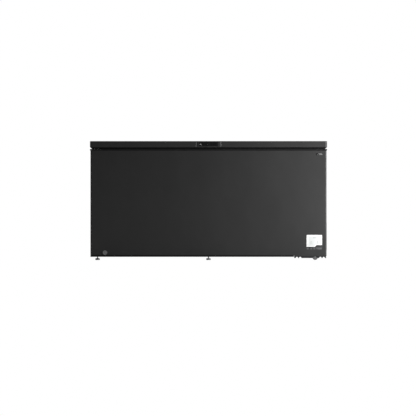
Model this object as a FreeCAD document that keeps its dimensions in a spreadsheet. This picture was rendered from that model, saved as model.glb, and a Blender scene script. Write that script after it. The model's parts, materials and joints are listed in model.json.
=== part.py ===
import FreeCAD, Part
import math
import os
import re
import sys

import Sketcher

# A long chest freezer, closed: a foam-filled steel cabinet on screw feet and two wheels, with a
# stepped tub inside, a hinged foam-filled lid, hanging baskets and a cooling circuit.
# Millimetres. +X is the user's right, -Y is the front, +Z is up. The origin is on the floor,
# under the middle of the whole object.

DRIVING = [
    # overall outline
    ("lid_width", 1657, "width over the lid and over the collar"),
    ("lid_front", 367, "origin to the lid's front"),
    ("lid_back", 340, "origin to the back of the lid and of the cabinet"),
    ("lid_top", 831, "height of the lid's top"),
    ("skirt_bottom", 789, "height of the lower edge of the lid's steel skirt"),
    ("frame_bottom", 779, "height of the underside of the lid's plastic frame"),
    ("collar_top", 776, "height of the face that the seal closes on"),
    ("shell_top", 764, "height where the steel shell tucks under the collar"),
    ("trim_top", 35, "height of the top of the bottom trim"),
    ("base_gap", 22, "height of the underside of the bottom trim"),
    ("panel_bottom", 28, "height of the shell's lower edge beside the machine bay"),
    ("overhang", 3.5, "how far lid and collar stand out past the shell"),
    ("sheet_steel", 0.8, "thickness of the painted steel"),
    ("shell_corner", 6, "outside radius of the shell's front corners"),
    ("lid_corner", 10, "corner radius of lid and collar seen from above"),
    ("lid_edge", 3, "radius along the lid's top edge"),
    # tub
    ("tub_side", 755, "origin to the tub's side walls"),
    ("tub_front", 295, "origin to the tub's front wall"),
    ("tub_back", 272, "origin to the tub's rear wall"),
    ("tub_floor", 95, "height of the tub's floor"),
    ("step_side", 532, "origin to the riser of the step over the machine bay"),
    ("step_top", 360, "height of the step's top"),
    ("ledge_height", 738, "height of the ledge that the baskets hang on"),
    ("ledge_depth", 10, "depth of that ledge, front and rear"),
    ("tub_corner", 34, "inside corner radius of the tub seen from above"),
    ("tub_sheet", 1, "thickness of the tub's embossed aluminium"),
    # lining of the lid
    ("liner_sheet", 1.2, "thickness of the moulded lining"),
    ("plug_side", 735, "origin to the sides of the plug that reaches into the tub"),
    ("plug_front", 285, "origin to the plug's front"),
    ("plug_back", 262, "origin to the plug's back"),
    ("plug_low", 757, "height of the plug's underside"),
    ("plug_corner", 30, "corner radius of the plug seen from above"),
    ("plug_edge", 8, "radius along the plug's lower edge"),
    ("pressing_side", 690, "origin to the sides of the shallow pressing in the plug"),
    ("pressing_front", 215, "origin to the pressing's front"),
    ("pressing_back", 218, "origin to the pressing's back"),
    ("pressing_top", 761, "height of the pressing's flat"),
    ("pressing_corner", 24, "corner radius of the pressing seen from above"),
    ("pressing_edge", 3, "radius along the pressing's upper edge"),
    ("lamp_half", 75, "half the length of the lamp's lens"),
    ("lamp_front", 262, "origin to the front of the lens"),
    ("lamp_depth", 30, "depth of the lens, front to rear"),
    ("lamp_low", 748.5, "height of the underside of the lens"),
    ("lamp_wall", 1.5, "thickness of the lens"),
    # machine bay
    ("bay_side", 598, "origin to the bay's partition"),
    ("bay_roof", 300, "height of the bay's roof"),
    ("tray_top", 42, "height of the machine tray's plate"),
    ("tray_bottom", 13.5, "height of the tray flanges' lower edge"),
    ("tray_sheet", 1.5, "thickness of the tray"),
    ("scallop_radius", 8, "radius of the cut-outs in the tray flanges"),
    ("scallop_pitch", 23, "spacing of those cut-outs"),
    ("scallop_inset", 20, "first cut-out from each end of the tray"),
    ("pump_along", 705, "compressor centre from the origin, to the right"),
    ("pump_behind", 150, "compressor centre from the origin, to the back"),
    ("pump_radius", 78, "radius of the compressor's shell"),
    ("pump_wall", 3, "thickness of the compressor's shell"),
    ("vent_front", 70, "origin to the front edge of the side vent"),
    ("vent_back", 290, "origin to the rear edge of the side vent"),
    ("vent_low", 80, "height of the side vent's lower edge"),
    ("vent_high", 250, "height of the side vent's upper edge"),
    ("vent_lip", 9, "how far the louvre's rim laps over the shell"),
    ("louvre_pitch", 18, "spacing of the louvre's slots"),
    ("gland_along", 640, "cord gland from the origin, to the right"),
    ("gland_height", 75, "height of the cord gland"),
    # drain
    ("drain_along", 723, "drain from the origin, to the left"),
    ("drain_behind", 265, "drain hole in the tub from the origin, to the front"),
    ("drain_height", 51.4, "height of the drain's outlet"),
    ("dial_radius", 16, "radius of the drain dial"),
    ("bush_radius", 8.9, "inside radius of the drain pipe's outlet"),
    # feet and wheels
    ("foot_along", 775, "outer feet from the origin, to the left"),
    ("foot_ahead", 335, "front feet and front wheel bracket line from the origin"),
    ("foot_behind", 312, "rear feet from the origin"),
    ("foot_radius", 15, "radius of a foot's pad"),
    ("stem_radius", 4, "radius of a foot's threaded stem"),
    ("wheel_radius", 18.5, "radius of the two wheels"),
    ("wheel_width", 16, "width of a wheel's tread"),
    ("wheel_along", 745, "wheels from the origin, to the right"),
    ("axle_radius", 4, "radius of a wheel's axle"),
    ("running_gap", 0.1, "radial clearance of what turns or slides in a bore"),
    # hinges
    ("hinge_along", 520, "each hinge from the origin"),
    ("hinge_behind", 356, "hinge axis from the origin, to the back"),
    ("hinge_height", 790, "height of the hinge axis"),
    ("hinge_pin", 4, "radius of the hinge pins"),
    ("hinge_plate", 2, "thickness of the hinge steel"),
    ("bracket_back", 370, "origin to the back of the hinge brackets"),
    ("bracket_half", 32, "half the width of a hinge bracket's channel"),
    ("bracket_foot", 640, "height of a hinge bracket's lower end"),
    ("bracket_top", 760, "height of the top of its channel"),
    ("cam_start", 22, "cam height under the pin with the lid closed"),
    ("cam_half", 12, "half the width of the cam"),
    ("cam_loss", 8.6, "cam height lost per radian of lid opening"),
    ("spring_foot", 650, "height of the springs' fixed end"),
    ("spring_top", 735, "height of the springs' moving end with the lid closed"),
    ("spring_wire", 1.6, "radius of the springs' wire"),
    ("spring_radius", 8, "mean radius of the springs"),
    ("spring_pitch", 8.18, "pitch of the springs with the lid closed"),
    # control panel
    ("panel_half", 87.5, "half the width of the control panel"),
    ("panel_low", 792.5, "height of the panel's lower edge"),
    ("panel_high", 826, "height of the panel's upper edge"),
    ("panel_proud", 3, "how far the panel stands out of the lid"),
    ("flank", 20, "length of the curved flank at each end of the panel"),
    ("flank_radius", 90, "radius that the flanks are curved to"),
    ("window_half", 64, "half the width of the display window"),
    ("window_low", 797, "height of the window's lower edge"),
    ("window_high", 823, "height of the window's upper edge"),
    ("key_along", 55, "each key from the middle"),
    ("key_height", 808, "height of the keys' centres"),
    ("key_radius", 6, "radius of the keys"),
    # marks on the front
    ("badge_along", 758, "centre of the badge's stud from the origin, to the right"),
    ("badge_height", 740.5, "height of the centre of the badge"),
    ("badge_end", 798, "origin to the right-hand end of the badge's bar"),
    ("label_left", 685.5, "origin to the label's left edge"),
    ("label_right", 794, "origin to the label's right edge"),
    ("label_low", 70, "height of the label's lower edge"),
    ("label_high", 175.5, "height of the label's upper edge"),
    # baskets
    ("basket_width", 310, "width of a basket"),
    ("basket_inner", 430, "inner end of each basket from the origin"),
    ("basket_depth", 240, "depth of a basket under its frame"),
    ("basket_wire", 3, "radius of a basket's frame wire"),
    ("basket_rod", 1.75, "radius of a basket's thin wires"),
]

PRESSED = 0.3  # face-to-face pieces that must not share material stand this far apart

doc = FreeCAD.newDocument("chest_freezer")
dims = doc.addObject("Spreadsheet::Sheet", "dims")
NAMES = {alias for alias, _, _ in DRIVING}
for row, (alias, value, note) in enumerate(DRIVING, start=1):
    dims.set(f"A{row}", alias)
    dims.set(f"B{row}", str(value))
    dims.set(f"C{row}", note)
    dims.setAlias(f"B{row}", alias)
doc.recompute()
nodes = []


def size(alias):
    """The value in a cell of the sheet."""
    return float(dims.get(alias))


def bound(text):
    """An expression in which each alias points at its cell."""
    return re.sub(
        r"[a-z][a-z_]*", lambda w: "dims." + w[0] if w[0] in NAMES else w[0], str(text)
    )


def node(label, shown):
    """Names a finished sub-part. The label is also its file's name."""
    shown.Label = label
    nodes.append(shown)
    return shown


# ---------------------------------------------------------------- building blocks


def place(thing, x=None, y=None, z=None):
    """Binds a placement's position to expressions."""
    for axis, text in (("x", x), ("y", y), ("z", z)):
        if text is not None:
            thing.setExpression(f"Placement.Base.{axis}", bound(text))
    return thing


def box(x, y, z, name="box"):
    """A block between pairs of expressions."""
    made = doc.addObject("Part::Box", name)
    for side, (low, high) in (("Length", x), ("Width", y), ("Height", z)):
        made.setExpression(side, bound(f"({high}) - ({low})"))
    return place(made, x[0], y[0], z[0])


ALONG = {
    "x": FreeCAD.Rotation(FreeCAD.Vector(0, 1, 0), 90),
    "y": FreeCAD.Rotation(FreeCAD.Vector(1, 0, 0), -90),
    "z": FreeCAD.Rotation(),
}


def rod(axis, span, centre, radius, name="rod"):
    """A cylinder along an axis. centre holds the other two coordinates, in X, Y, Z order."""
    made = doc.addObject("Part::Cylinder", name)
    made.Placement.Rotation = ALONG[axis]
    made.setExpression("Radius", bound(radius))
    made.setExpression("Height", bound(f"({span[1]}) - ({span[0]})"))
    spot = dict(zip([a for a in "xyz" if a != axis], centre))
    spot[axis] = span[0]
    return place(made, **spot)


def fuse(*shapes, name="fusion"):
    made = doc.addObject("Part::MultiFuse", name)
    made.Shapes = list(shapes)
    return made


def cut(base, *tools, name="cut"):
    made = doc.addObject("Part::Cut", name)
    made.Base = base
    made.Tool = tools[0] if len(tools) == 1 else fuse(*tools)
    return made


def common(*shapes, name="common"):
    made = doc.addObject("Part::MultiCommon", name)
    made.Shapes = list(shapes)
    return made


def group(*shapes, name="group"):
    """Separate solids that share a node."""
    made = doc.addObject("Part::Compound", name)
    made.Links = list(shapes)
    return made


def sketch(body, plane, offset):
    made = body.newObject("Sketcher::SketchObject", body.Name + "_sketch")
    origin_plane = next(f for f in body.Origin.OriginFeatures if f.Role == plane + "_Plane")
    made.AttachmentSupport = [(origin_plane, "")]
    made.MapMode = "FlatFace"
    made.setExpression("AttachmentOffset.Base.z", bound(offset))
    return made


def pin_down(drawing, item, corner, place_at, tag):
    """Fixes one point of a sketch at a pair of expressions."""
    for kind, text in zip(("DistanceX", "DistanceY"), place_at):
        number = drawing.addConstraint(Sketcher.Constraint(kind, -1, 1, item, corner, 1.0))
        name = f"{kind}_{tag}"
        drawing.renameConstraint(number, name)
        drawing.setExpression("Constraints." + name, bound(text))


def polygon(drawing, points):
    """A closed outline of straight lines through points given as expressions."""
    count = len(points)
    ring = [
        FreeCAD.Vector(
            100 * math.cos(2 * math.pi * i / count), 100 * math.sin(2 * math.pi * i / count), 0
        )
        for i in range(count)
    ]
    first = drawing.GeometryCount
    for i in range(count):
        drawing.addGeometry(Part.LineSegment(ring[i], ring[(i + 1) % count]), False)
    for i in range(count):
        drawing.addConstraint(
            Sketcher.Constraint("Coincident", first + i, 2, first + (i + 1) % count, 1)
        )
    for i, at in enumerate(points):
        pin_down(drawing, first + i, 1, at, f"p{first + i}")


def padded(label, plane, points, span):
    """A body: an outline on an origin plane, padded over a span along the third axis."""
    body = doc.addObject("PartDesign::Body", label)
    low, high = span
    # the XZ plane's normal is -Y, so that pad starts at its high end and runs back
    offset = f"-({high})" if plane == "XZ" else low
    drawing = sketch(body, plane, offset)
    polygon(drawing, points)
    pad = body.newObject("PartDesign::Pad", label + "_pad")
    pad.Profile = drawing
    pad.setExpression("Length", bound(f"({high}) - ({low})"))
    doc.recompute()
    return body


def dress(body, kind, amount, chosen):
    """A fillet or chamfer on the body's edges that chosen(edge) accepts."""
    tip = body.Tip
    edges = [f"Edge{i}" for i, e in enumerate(tip.Shape.Edges, start=1) if chosen(e)]
    made = body.newObject("PartDesign::" + kind, body.Name + "_" + kind.lower())
    made.Base = (tip, edges)
    made.setExpression("Radius" if kind == "Fillet" else "Size", bound(amount))
    doc.recompute()
    return body


def upright(edge):
    """True of a straight vertical edge."""
    low, high = edge.BoundBox.ZMin, edge.BoundBox.ZMax
    return high - low > 1e-3 and abs(edge.Length - (high - low)) < 1e-4


def level(height):
    """Chooses the edges that lie at a height."""
    return lambda e: abs(e.BoundBox.ZMin - height) < 1e-3 and abs(e.BoundBox.ZMax - height) < 1e-3


def slab(label, x, y, z, corner=None):
    """A rectangular pad with upright corners of a radius."""
    points = [(x[0], y[0]), (x[1], y[0]), (x[1], y[1]), (x[0], y[1])]
    body = padded(label, "XY", points, z)
    if corner is not None:
        dress(body, "Fillet", corner, upright)
    return body


def turned(label, points):
    """A body of revolution about Z, from an outline of radii and heights."""
    body = doc.addObject("PartDesign::Body", label)
    drawing = sketch(body, "XZ", 0)
    polygon(drawing, points)
    spin = body.newObject("PartDesign::Revolution", label + "_spin")
    spin.Profile = drawing
    spin.ReferenceAxis = (drawing, ["V_Axis"])
    spin.Angle = 360
    doc.recompute()
    return body


def route(points, bend):
    """Straight edges through points, joined by tangent arcs of one radius."""
    spots = [FreeCAD.Vector(*p) for p in points]
    edges = []
    start = spots[0]
    for before, corner, after in zip(spots, spots[1:], spots[2:]):
        arrive = (corner - before).normalize()
        leave = (after - corner).normalize()
        half = arrive.getAngle(leave) / 2
        reach = bend * math.tan(half)
        inward = (leave - arrive).normalize()
        arc_start = corner - arrive * reach
        arc_end = corner + leave * reach
        middle = corner + inward * (bend / math.cos(half) - bend)
        edges.append(Part.LineSegment(start, arc_start).toShape())
        edges.append(Part.Arc(arc_start, middle, arc_end).toShape())
        start = arc_end
    edges.append(Part.LineSegment(start, spots[-1]).toShape())
    return edges


def bar(edges, radius):
    """A round bar along edges that follow on smoothly."""
    path = Part.Wire(edges)
    start = edges[0].FirstParameter
    outline = Part.Circle(edges[0].valueAt(start), edges[0].tangentAt(start), radius)
    made = path.makePipeShell([Part.Wire(outline.toShape())], True, False)
    expected = math.pi * radius**2 * path.Length
    if abs(made.Volume / expected - 1) > 0.01:
        sys.exit(f"a bar of radius {radius} has the wrong volume")
    return made


def swept(points, bend, radius):
    """A round bar in one piece along straight runs and tangent arcs."""
    return bar(route(points, bend), radius)


def jointed(points, bend, radius):
    """The same bar in pieces: every second run keeps the arcs at both its ends."""
    edges = route(points, bend)
    runs, arcs = edges[0::2], edges[1::2]
    pieces = []
    for i, run in enumerate(runs):
        pieces.append([run] if i % 2 == 0 else [arcs[i - 1], run, arcs[i]])
    return [bar(piece, radius) for piece in pieces]


def tube(points, bend, radius, bore):
    """A hollow bar. Its bore runs out of both ends."""
    return swept(points, bend, radius).cut(swept(points, bend, bore))


def feature(label, shape):
    """A sub-part whose shape the script makes itself."""
    made = doc.addObject("Part::Feature", label)
    made.Shape = shape
    return made


# ---------------------------------------------------------------- places used by several parts

HALF = "lid_width / 2"
SIDE = "(lid_width / 2 - overhang)"
FRONT = "(overhang - lid_front)"
BACK = "lid_back"
INSIDE_FRONT = "(overhang - lid_front + sheet_steel)"
SEAM_BACK = "(lid_back - 2 * sheet_steel)"
FEET = {
    "front_left": ("-foot_along", "-foot_ahead"),
    "front_middle": ("0", "-foot_ahead"),
    "rear_left": ("-foot_along", "foot_behind"),
    "rear_middle": ("0", "foot_behind"),
}
GLAND = ("gland_along", "gland_height")
HINGES = {"left": "-hinge_along", "right": "hinge_along"}


# ---------------------------------------------------------------- cabinet shell


def outer_shell():
    """One painted sheet: front and both sides, with narrow returns behind."""
    lap, t = 15, "sheet_steel"
    points = [
        (f"-{SIDE}", BACK),
        (f"-{SIDE}", FRONT),
        (SIDE, FRONT),
        (SIDE, BACK),
        (f"{SIDE} - {lap}", BACK),
        (f"{SIDE} - {lap}", f"{BACK} - {t}"),
        (f"{SIDE} - {t}", f"{BACK} - {t}"),
        (f"{SIDE} - {t}", INSIDE_FRONT),
        (f"{t} - {SIDE}", INSIDE_FRONT),
        (f"{t} - {SIDE}", f"{BACK} - {t}"),
        (f"{lap} - {SIDE}", f"{BACK} - {t}"),
        (f"{lap} - {SIDE}", BACK),
    ]
    body = padded("shell_sheet", "XY", points, ("panel_bottom", "shell_top"))
    outside = size("overhang") - size("lid_front")
    inside = outside + size("sheet_steel")
    dress(body, "Fillet", "shell_corner", lambda e: upright(e) and abs(e.BoundBox.YMax - outside) < 0.01)
    dress(
        body,
        "Fillet",
        "shell_corner - sheet_steel",
        lambda e: upright(e) and abs(e.BoundBox.YMax - inside) < 0.01,
    )
    over_trim = box(
        (f"-{HALF}", "bay_side"), ("-lid_front", "lid_front"), ("0", "trim_top"), "over_trim"
    )
    vent = box(
        (f"{SIDE} - 5", f"{SIDE} + 5"), ("vent_front", "vent_back"), ("vent_low", "vent_high"), "vent_opening"
    )
    outlet = rod("y", ("-lid_front", "15 - lid_front"), ("-drain_along", "drain_height"), "13")
    node("outer_shell", cut(body, over_trim, vent, outlet, name="outer_shell"))


def back_panel():
    edge = f"({SIDE} - 15.5)"
    points = [
        ("-" + edge, "trim_top"),
        ("bay_side + 2", "trim_top"),
        ("bay_side + 2", "bay_roof + 1"),
        (edge, "bay_roof + 1"),
        (edge, "shell_top"),
        ("-" + edge, "shell_top"),
    ]
    node("back_panel", padded("back_panel", "XZ", points, ("lid_back - sheet_steel", BACK)))


def base_panel():
    """One folded sheet: floor, bay partition and bay roof."""
    t = "sheet_steel"
    points = [
        ("4 - " + SIDE, "trim_top + 1"),
        ("bay_side", "trim_top + 1"),
        ("bay_side", f"bay_roof - {t}"),
        (SIDE + " - 4", f"bay_roof - {t}"),
        (SIDE + " - 4", "bay_roof"),
        (f"bay_side - {t}", "bay_roof"),
        (f"bay_side - {t}", f"trim_top + 1 + {t}"),
        ("4 - " + SIDE, f"trim_top + 1 + {t}"),
    ]
    body = padded("base_sheet", "XZ", points, (INSIDE_FRONT + " + 3", SEAM_BACK + " - 0.5"))
    holes = [
        rod("z", ("trim_top - 5", "trim_top + 8"), at, "stem_radius + 1") for at in FEET.values()
    ]
    node("base_panel", cut(body, *holes, name="base_panel"))


def bottom_trim():
    """A black edge strip round the foot of the cabinet, open at the machine bay."""
    deep = 13
    points = [
        ("bay_side - 1", FRONT),
        (f"-{SIDE}", FRONT),
        (f"-{SIDE}", BACK),
        ("bay_side - 1", BACK),
        ("bay_side - 1", f"{BACK} - {deep}"),
        (f"{deep} - {SIDE}", f"{BACK} - {deep}"),
        (f"{deep} - {SIDE}", f"{FRONT} + {deep}"),
        ("bay_side - 1", f"{FRONT} + {deep}"),
    ]
    body = padded("bottom_trim", "XY", points, ("base_gap", "trim_top"))
    left = size("overhang") - size("lid_width") / 2
    dress(body, "Fillet", "shell_corner", lambda e: upright(e) and abs(e.BoundBox.XMin - left) < 0.01)
    dress(body, "Fillet", "1", lambda e: level(size("base_gap"))(e) and e.BoundBox.XMin < left + 12)
    node("bottom_trim", body)


def top_collar():
    """The plastic ring that joins shell and tub and carries the seal's landing face."""
    body = slab(
        "collar_ring",
        (f"-{HALF}", HALF),
        ("-lid_front", "lid_back + overhang"),
        ("shell_top", "collar_top"),
        "lid_corner",
    )
    dress(body, "Fillet", "4", lambda e: level(size("collar_top"))(e) or level(size("shell_top"))(e))
    mouth = slab(
        "collar_mouth",
        ("-tub_side - tub_sheet", "tub_side + tub_sheet"),
        ("-tub_front - ledge_depth - tub_sheet", "tub_back + ledge_depth + tub_sheet"),
        ("shell_top - 5", "collar_top + 5"),
        "tub_corner + tub_sheet",
    )
    notches = [
        box(
            (f"{x} - cam_half - 2.5", f"{x} + cam_half + 2.5"),
            (f"{BACK} - 5", f"{BACK} + 5"),
            ("shell_top - 1", "collar_top + 1"),
            "cam_notch",
        )
        for x in HINGES.values()
    ]
    node("top_collar", cut(body, mouth, *notches, name="top_collar"))


# ---------------------------------------------------------------- tub and insulation


TUB_Y = ("-tub_front", "tub_back")
MOUTH_Y = ("-tub_front - ledge_depth", "tub_back + ledge_depth")


def widened(span, grow):
    """A pair of expressions, each moved outwards by a third one."""
    return (f"{span[0]} - ({grow})", f"{span[1]} + ({grow})")


def foam_mould(grow, top):
    """The tub's stepped volume, grown by an expression on every side but the top."""
    parts = [
        ("deep", ("-tub_side", "step_side"), TUB_Y, "tub_floor"),
        ("shallow", ("-tub_side", "tub_side"), TUB_Y, "step_top"),
        ("mouth", ("-tub_side", "tub_side"), MOUTH_Y, "ledge_height"),
    ]
    blocks = [
        slab(
            "mould_" + tag, widened(x, grow), widened(y, grow), (f"{low} - ({grow})", top),
            f"tub_corner + ({grow})",
        )
        for tag, x, y, low in parts
    ]
    return fuse(*blocks, name="foam_mould")


def tub_wall(tag, x, y, z):
    """One height of the tub's wall: four flat sheets seamed to four rounded corners."""
    sheet = "tub_corner + tub_sheet"
    around = slab(tag + "_around", widened(x, "tub_sheet"), widened(y, "tub_sheet"), z, sheet)
    inside = slab(tag + "_inside", x, y, widened(z, "1"), "tub_corner")
    wall = cut(around, inside)
    across = [
        (f"{low} - 2 * tub_sheet", f"{low} + tub_corner", f"{high} - tub_corner", f"{high} + 2 * tub_sheet")
        for low, high in (x, y)
    ]
    cells = [
        (across[0][i : i + 2], across[1][j : j + 2]) for i in range(3) for j in range(3) if (i, j) != (1, 1)
    ]
    return [common(wall, box(*cell, z)) for cell in cells]


def inner_tub():
    """Embossed sheets: a floor, a step, and walls in three heights, with ledges for the baskets."""
    deep_x, wide_x = ("-tub_side", "step_side"), ("-tub_side", "tub_side")
    rim_low = "ledge_height - tub_sheet"
    walls = tub_wall("deep", deep_x, TUB_Y, ("tub_floor", "step_top"))
    walls += tub_wall("upper", wide_x, TUB_Y, ("step_top", rim_low))
    walls += tub_wall("rim", wide_x, MOUTH_Y, (rim_low, "collar_top"))
    sheet = "tub_corner + tub_sheet"
    deep_out, wide_out = widened(deep_x, "tub_sheet"), widened(wide_x, "tub_sheet")
    across = widened(TUB_Y, "tub_sheet")
    pan = slab("floor_pan", deep_out, across, ("tub_floor - tub_sheet", "tub_floor"), sheet)
    drain = rod("z", ("tub_floor - 5", "tub_floor + 5"), ("-drain_along", "-drain_behind"), "10.5")
    under_step = ("step_top - tub_sheet", "step_top")
    wide_step = slab("step_sheet", wide_out, across, under_step, sheet)
    deep_hole = slab("step_hole", deep_out, across, widened(under_step, "1"), sheet)
    past_riser = box(("step_side - tub_corner", HALF), widened(TUB_Y, "5"), under_step)
    step = common(cut(wide_step, deep_hole), past_riser)
    landing = slab("ledge_sheet", wide_x, MOUTH_Y, (rim_low, "ledge_height"), "tub_corner")
    opening = slab("ledge_opening", wide_x, TUB_Y, widened((rim_low, "ledge_height"), "1"), "tub_corner")
    ledges = cut(landing, opening)
    node("inner_tub", group(*walls, cut(pan, drain), step, ledges, name="inner_tub"))


LOW_LOOPS = (150, 220, 290)
HIGH_LOOPS = (410, 490, 570, 650)
EVAPORATOR_BORE = 4  # outside radius of the evaporator tube
EVAPORATOR_OFF = 5.5  # its centre line from the tub's outer face
STEP_UP = (-200, -110)  # where, along the rear wall, the tube climbs to the next loop


def insulation():
    """Rigid foam, poured between shell and tub, with the channels that the tubes lie in."""
    block = slab(
        "foam_block",
        ("2 - " + SIDE, SIDE + " - 2"),
        (INSIDE_FRONT + " + 1", SEAM_BACK + " - 1"),
        ("trim_top + 3", "shell_top - 1"),
        "shell_corner",
    )
    tub = foam_mould("tub_sheet + 1", "shell_top + 5")
    bay = box(
        ("bay_side - 2", HALF), ("-lid_front", "lid_front"), ("0", "bay_roof + 1"), "foam_bay"
    )
    reach = EVAPORATOR_OFF + EVAPORATOR_BORE + 2
    channels = []
    for height in LOW_LOOPS + HIGH_LOOPS:
        end = "step_side" if height in LOW_LOOPS else "tub_side"
        channels.append(
            box(
                (f"-tub_side - {reach}", f"{end} + {reach}"),
                (f"-tub_front - {reach}", f"tub_back + {reach}"),
                (height - 8, height + 8),
                "loop_channel",
            )
        )
    climb = box(
        (STEP_UP[0] - 30, STEP_UP[1] + 30),
        ("tub_back", f"tub_back + {reach}"),
        (LOW_LOOPS[0], HIGH_LOOPS[-1]),
        "climb_channel",
    )
    condenser = box(("-690", "490"), ("-lid_front", INSIDE_FRONT + " + 8"), ("95", "690"))
    pockets = [
        rod("z", ("trim_top", "trim_top + 22"), at, "stem_radius + 2", "stem_pocket")
        for at in FEET.values()
    ]
    drain = box(
        ("-drain_along - 14", "14 - drain_along"),
        ("-lid_front", "16 - drain_behind"),
        ("drain_height - 13", "tub_floor + 2"),
        "drain_channel",
    )
    node("insulation", cut(block, tub, bay, climb, condenser, drain, *channels, *pockets))


def evaporator():
    """One tube wound round the tub from the lowest loop to the highest."""
    off = EVAPORATOR_OFF + size("tub_sheet")
    left = -size("tub_side") - off
    front = -size("tub_front") - off
    back = size("tub_back") + off
    start, end = STEP_UP
    points = [(start, back, LOW_LOOPS[0])]
    for height in LOW_LOOPS + HIGH_LOOPS:
        right = size("step_side" if height in LOW_LOOPS else "tub_side") + off
        corners = [(left, back), (left, front), (right, front), (right, back)]
        points += [(x, y, height) for x, y in corners]
        points.append((end, back, height))
        if height != HIGH_LOOPS[-1]:
            following = (LOW_LOOPS + HIGH_LOOPS)[(LOW_LOOPS + HIGH_LOOPS).index(height) + 1]
            points.append((start, back, following))
    node("evaporator_tube", feature("evaporator_tube", swept(points, 18, EVAPORATOR_BORE)))


def condenser():
    """A thin tube in long runs behind the front sheet, which carries its heat away."""
    y = size("overhang") - size("lid_front") + size("sheet_steel") + 3.5
    low, pitch, runs = 120, 60, 10
    left, right = -650, 450
    points = []
    for run in range(runs):
        ends = [left, right] if run % 2 == 0 else [right, left]
        points += [(x, y, low + run * pitch) for x in ends]
    node("condenser_tube", feature("condenser_tube", swept(points, 25, 2.4)))


# ---------------------------------------------------------------- machine bay


def machine_tray():
    """A folded tray on which the compressor stands. Its flanges are scalloped at both ends."""
    front, back = f"({INSIDE_FRONT} + 3.5)", f"({SEAM_BACK} - 3.5)"
    t = "tray_sheet"
    points = [
        (front, "tray_bottom"),
        (front, "tray_top"),
        (back, "tray_top"),
        (back, "tray_bottom"),
        (f"{back} - {t}", "tray_bottom"),
        (f"{back} - {t}", f"tray_top - {t}"),
        (f"{front} + {t}", f"tray_top - {t}"),
        (f"{front} + {t}", "tray_bottom"),
    ]
    ends = ("bay_side + 1", SIDE + " - 3")
    body = padded("tray_sheet_body", "YZ", points, ends)
    through = ("-lid_front", "lid_back")
    scallops = []
    for number in range(2):
        for at in (
            f"bay_side + scallop_inset + {number} * scallop_pitch",
            f"{SIDE} - scallop_inset - {number} * scallop_pitch",
        ):
            scallops.append(rod("y", through, (at, "tray_bottom + 1"), "scallop_radius"))
    arches = [
        rod("y", span, ("wheel_along", "tray_bottom - 8"), "wheel_radius + 1")
        for span in (("-lid_front", "-foot_ahead"), ("foot_behind", "lid_back"))
    ]
    bolt_holes = [
        rod("z", ("tray_top - 5", "tray_top + 5"), at, "5.5") for at in pump_feet()
    ]
    node("machine_tray", cut(body, *scallops, *arches, *bolt_holes, name="machine_tray"))


def pump_feet():
    """The compressor's four mounting points."""
    return [
        (f"pump_along + {sx} * 62", f"pump_behind + {sy} * 85") for sx in (-1, 1) for sy in (-1, 1)
    ]


def compressor():
    """A hermetic pump's case: two half shells, the lower on a pressed foot plate."""
    lower = [
        ("0", "60"),
        ("pump_radius - 18", "60"),
        ("pump_radius", "78"),
        ("pump_radius", "146"),
        ("pump_radius + 5", "146"),
        ("pump_radius + 5", "150"),
        ("pump_radius - pump_wall", "150"),
        ("pump_radius - pump_wall", "79"),
        ("pump_radius - 19", "63"),
        ("0", "63"),
    ]
    upper = [
        ("pump_radius + 5", "150"),
        ("pump_radius + 5", "153"),
        ("pump_radius", "153"),
        ("pump_radius", "212"),
        ("pump_radius - 26", "238"),
        ("0", "243"),
        ("0", "240"),
        ("pump_radius - 27", "235"),
        ("pump_radius - pump_wall", "211"),
        ("pump_radius - pump_wall", "150"),
    ]
    shells = {}
    outer = size("pump_radius")
    for label, outline in (("lower_shell", lower), ("upper_shell", upper)):
        shell = turned(label, outline)
        dress(
            shell,
            "Fillet",
            "9",
            lambda e: abs(e.BoundBox.XMax - outer) < 0.01
            and (abs(e.BoundBox.ZMin - 78) < 0.01 or abs(e.BoundBox.ZMin - 212) < 0.01),
        )
        shells[label] = place(shell, "pump_along", "pump_behind")
    plate = slab(
        "pump_plate",
        ("pump_along - 76", "pump_along + 76"),
        ("pump_behind - 99", "pump_behind + 99"),
        ("tray_top + 14", "tray_top + 17"),
        "14",
    )
    holes = [rod("z", ("tray_top + 10", "tray_top + 20"), at, "5.5") for at in pump_feet()]
    saddle = rod("z", ("tray_top + 16", "62"), ("pump_along", "pump_behind"), "50")
    lower_half = fuse(shells["lower_shell"], saddle, cut(plate, *holes))
    node("compressor_lower_shell", lower_half)
    node("compressor_upper_shell", shells["upper_shell"])


def compressor_mounts():
    """Rubber grommets under the foot plate, each with a bolt through it."""
    rings = []
    bolts = []
    for at in pump_feet():
        ring = rod("z", ("tray_top", "tray_top + 14"), at, "10")
        rings.append(cut(ring, rod("z", ("tray_top - 1", "tray_top + 15"), at, "4.5")))
        shank = rod("z", ("tray_top - 8", "tray_top + 18"), at, "3")
        head = rod("z", ("tray_top + 17", "tray_top + 22"), at, "8")
        nut = rod("z", ("tray_top - 7.5", "tray_top - tray_sheet"), at, "7")
        bolts.append(fuse(shank, head, nut))
    node("compressor_grommets", group(*rings))
    node("compressor_bolts", group(*bolts))


def relay_cover():
    """The clip-on box over the compressor's terminals."""
    body = slab(
        "relay_block",
        ("pump_along - 30", "pump_along + 30"),
        ("pump_behind - pump_radius - 36", "pump_behind - pump_radius + 4"),
        ("110", "175"),
        "5",
    )
    reach = rod("z", ("100", "190"), ("pump_along", "pump_behind"), "pump_radius + 5.5")
    node("relay_cover", cut(body, reach, name="relay_cover"))


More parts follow.
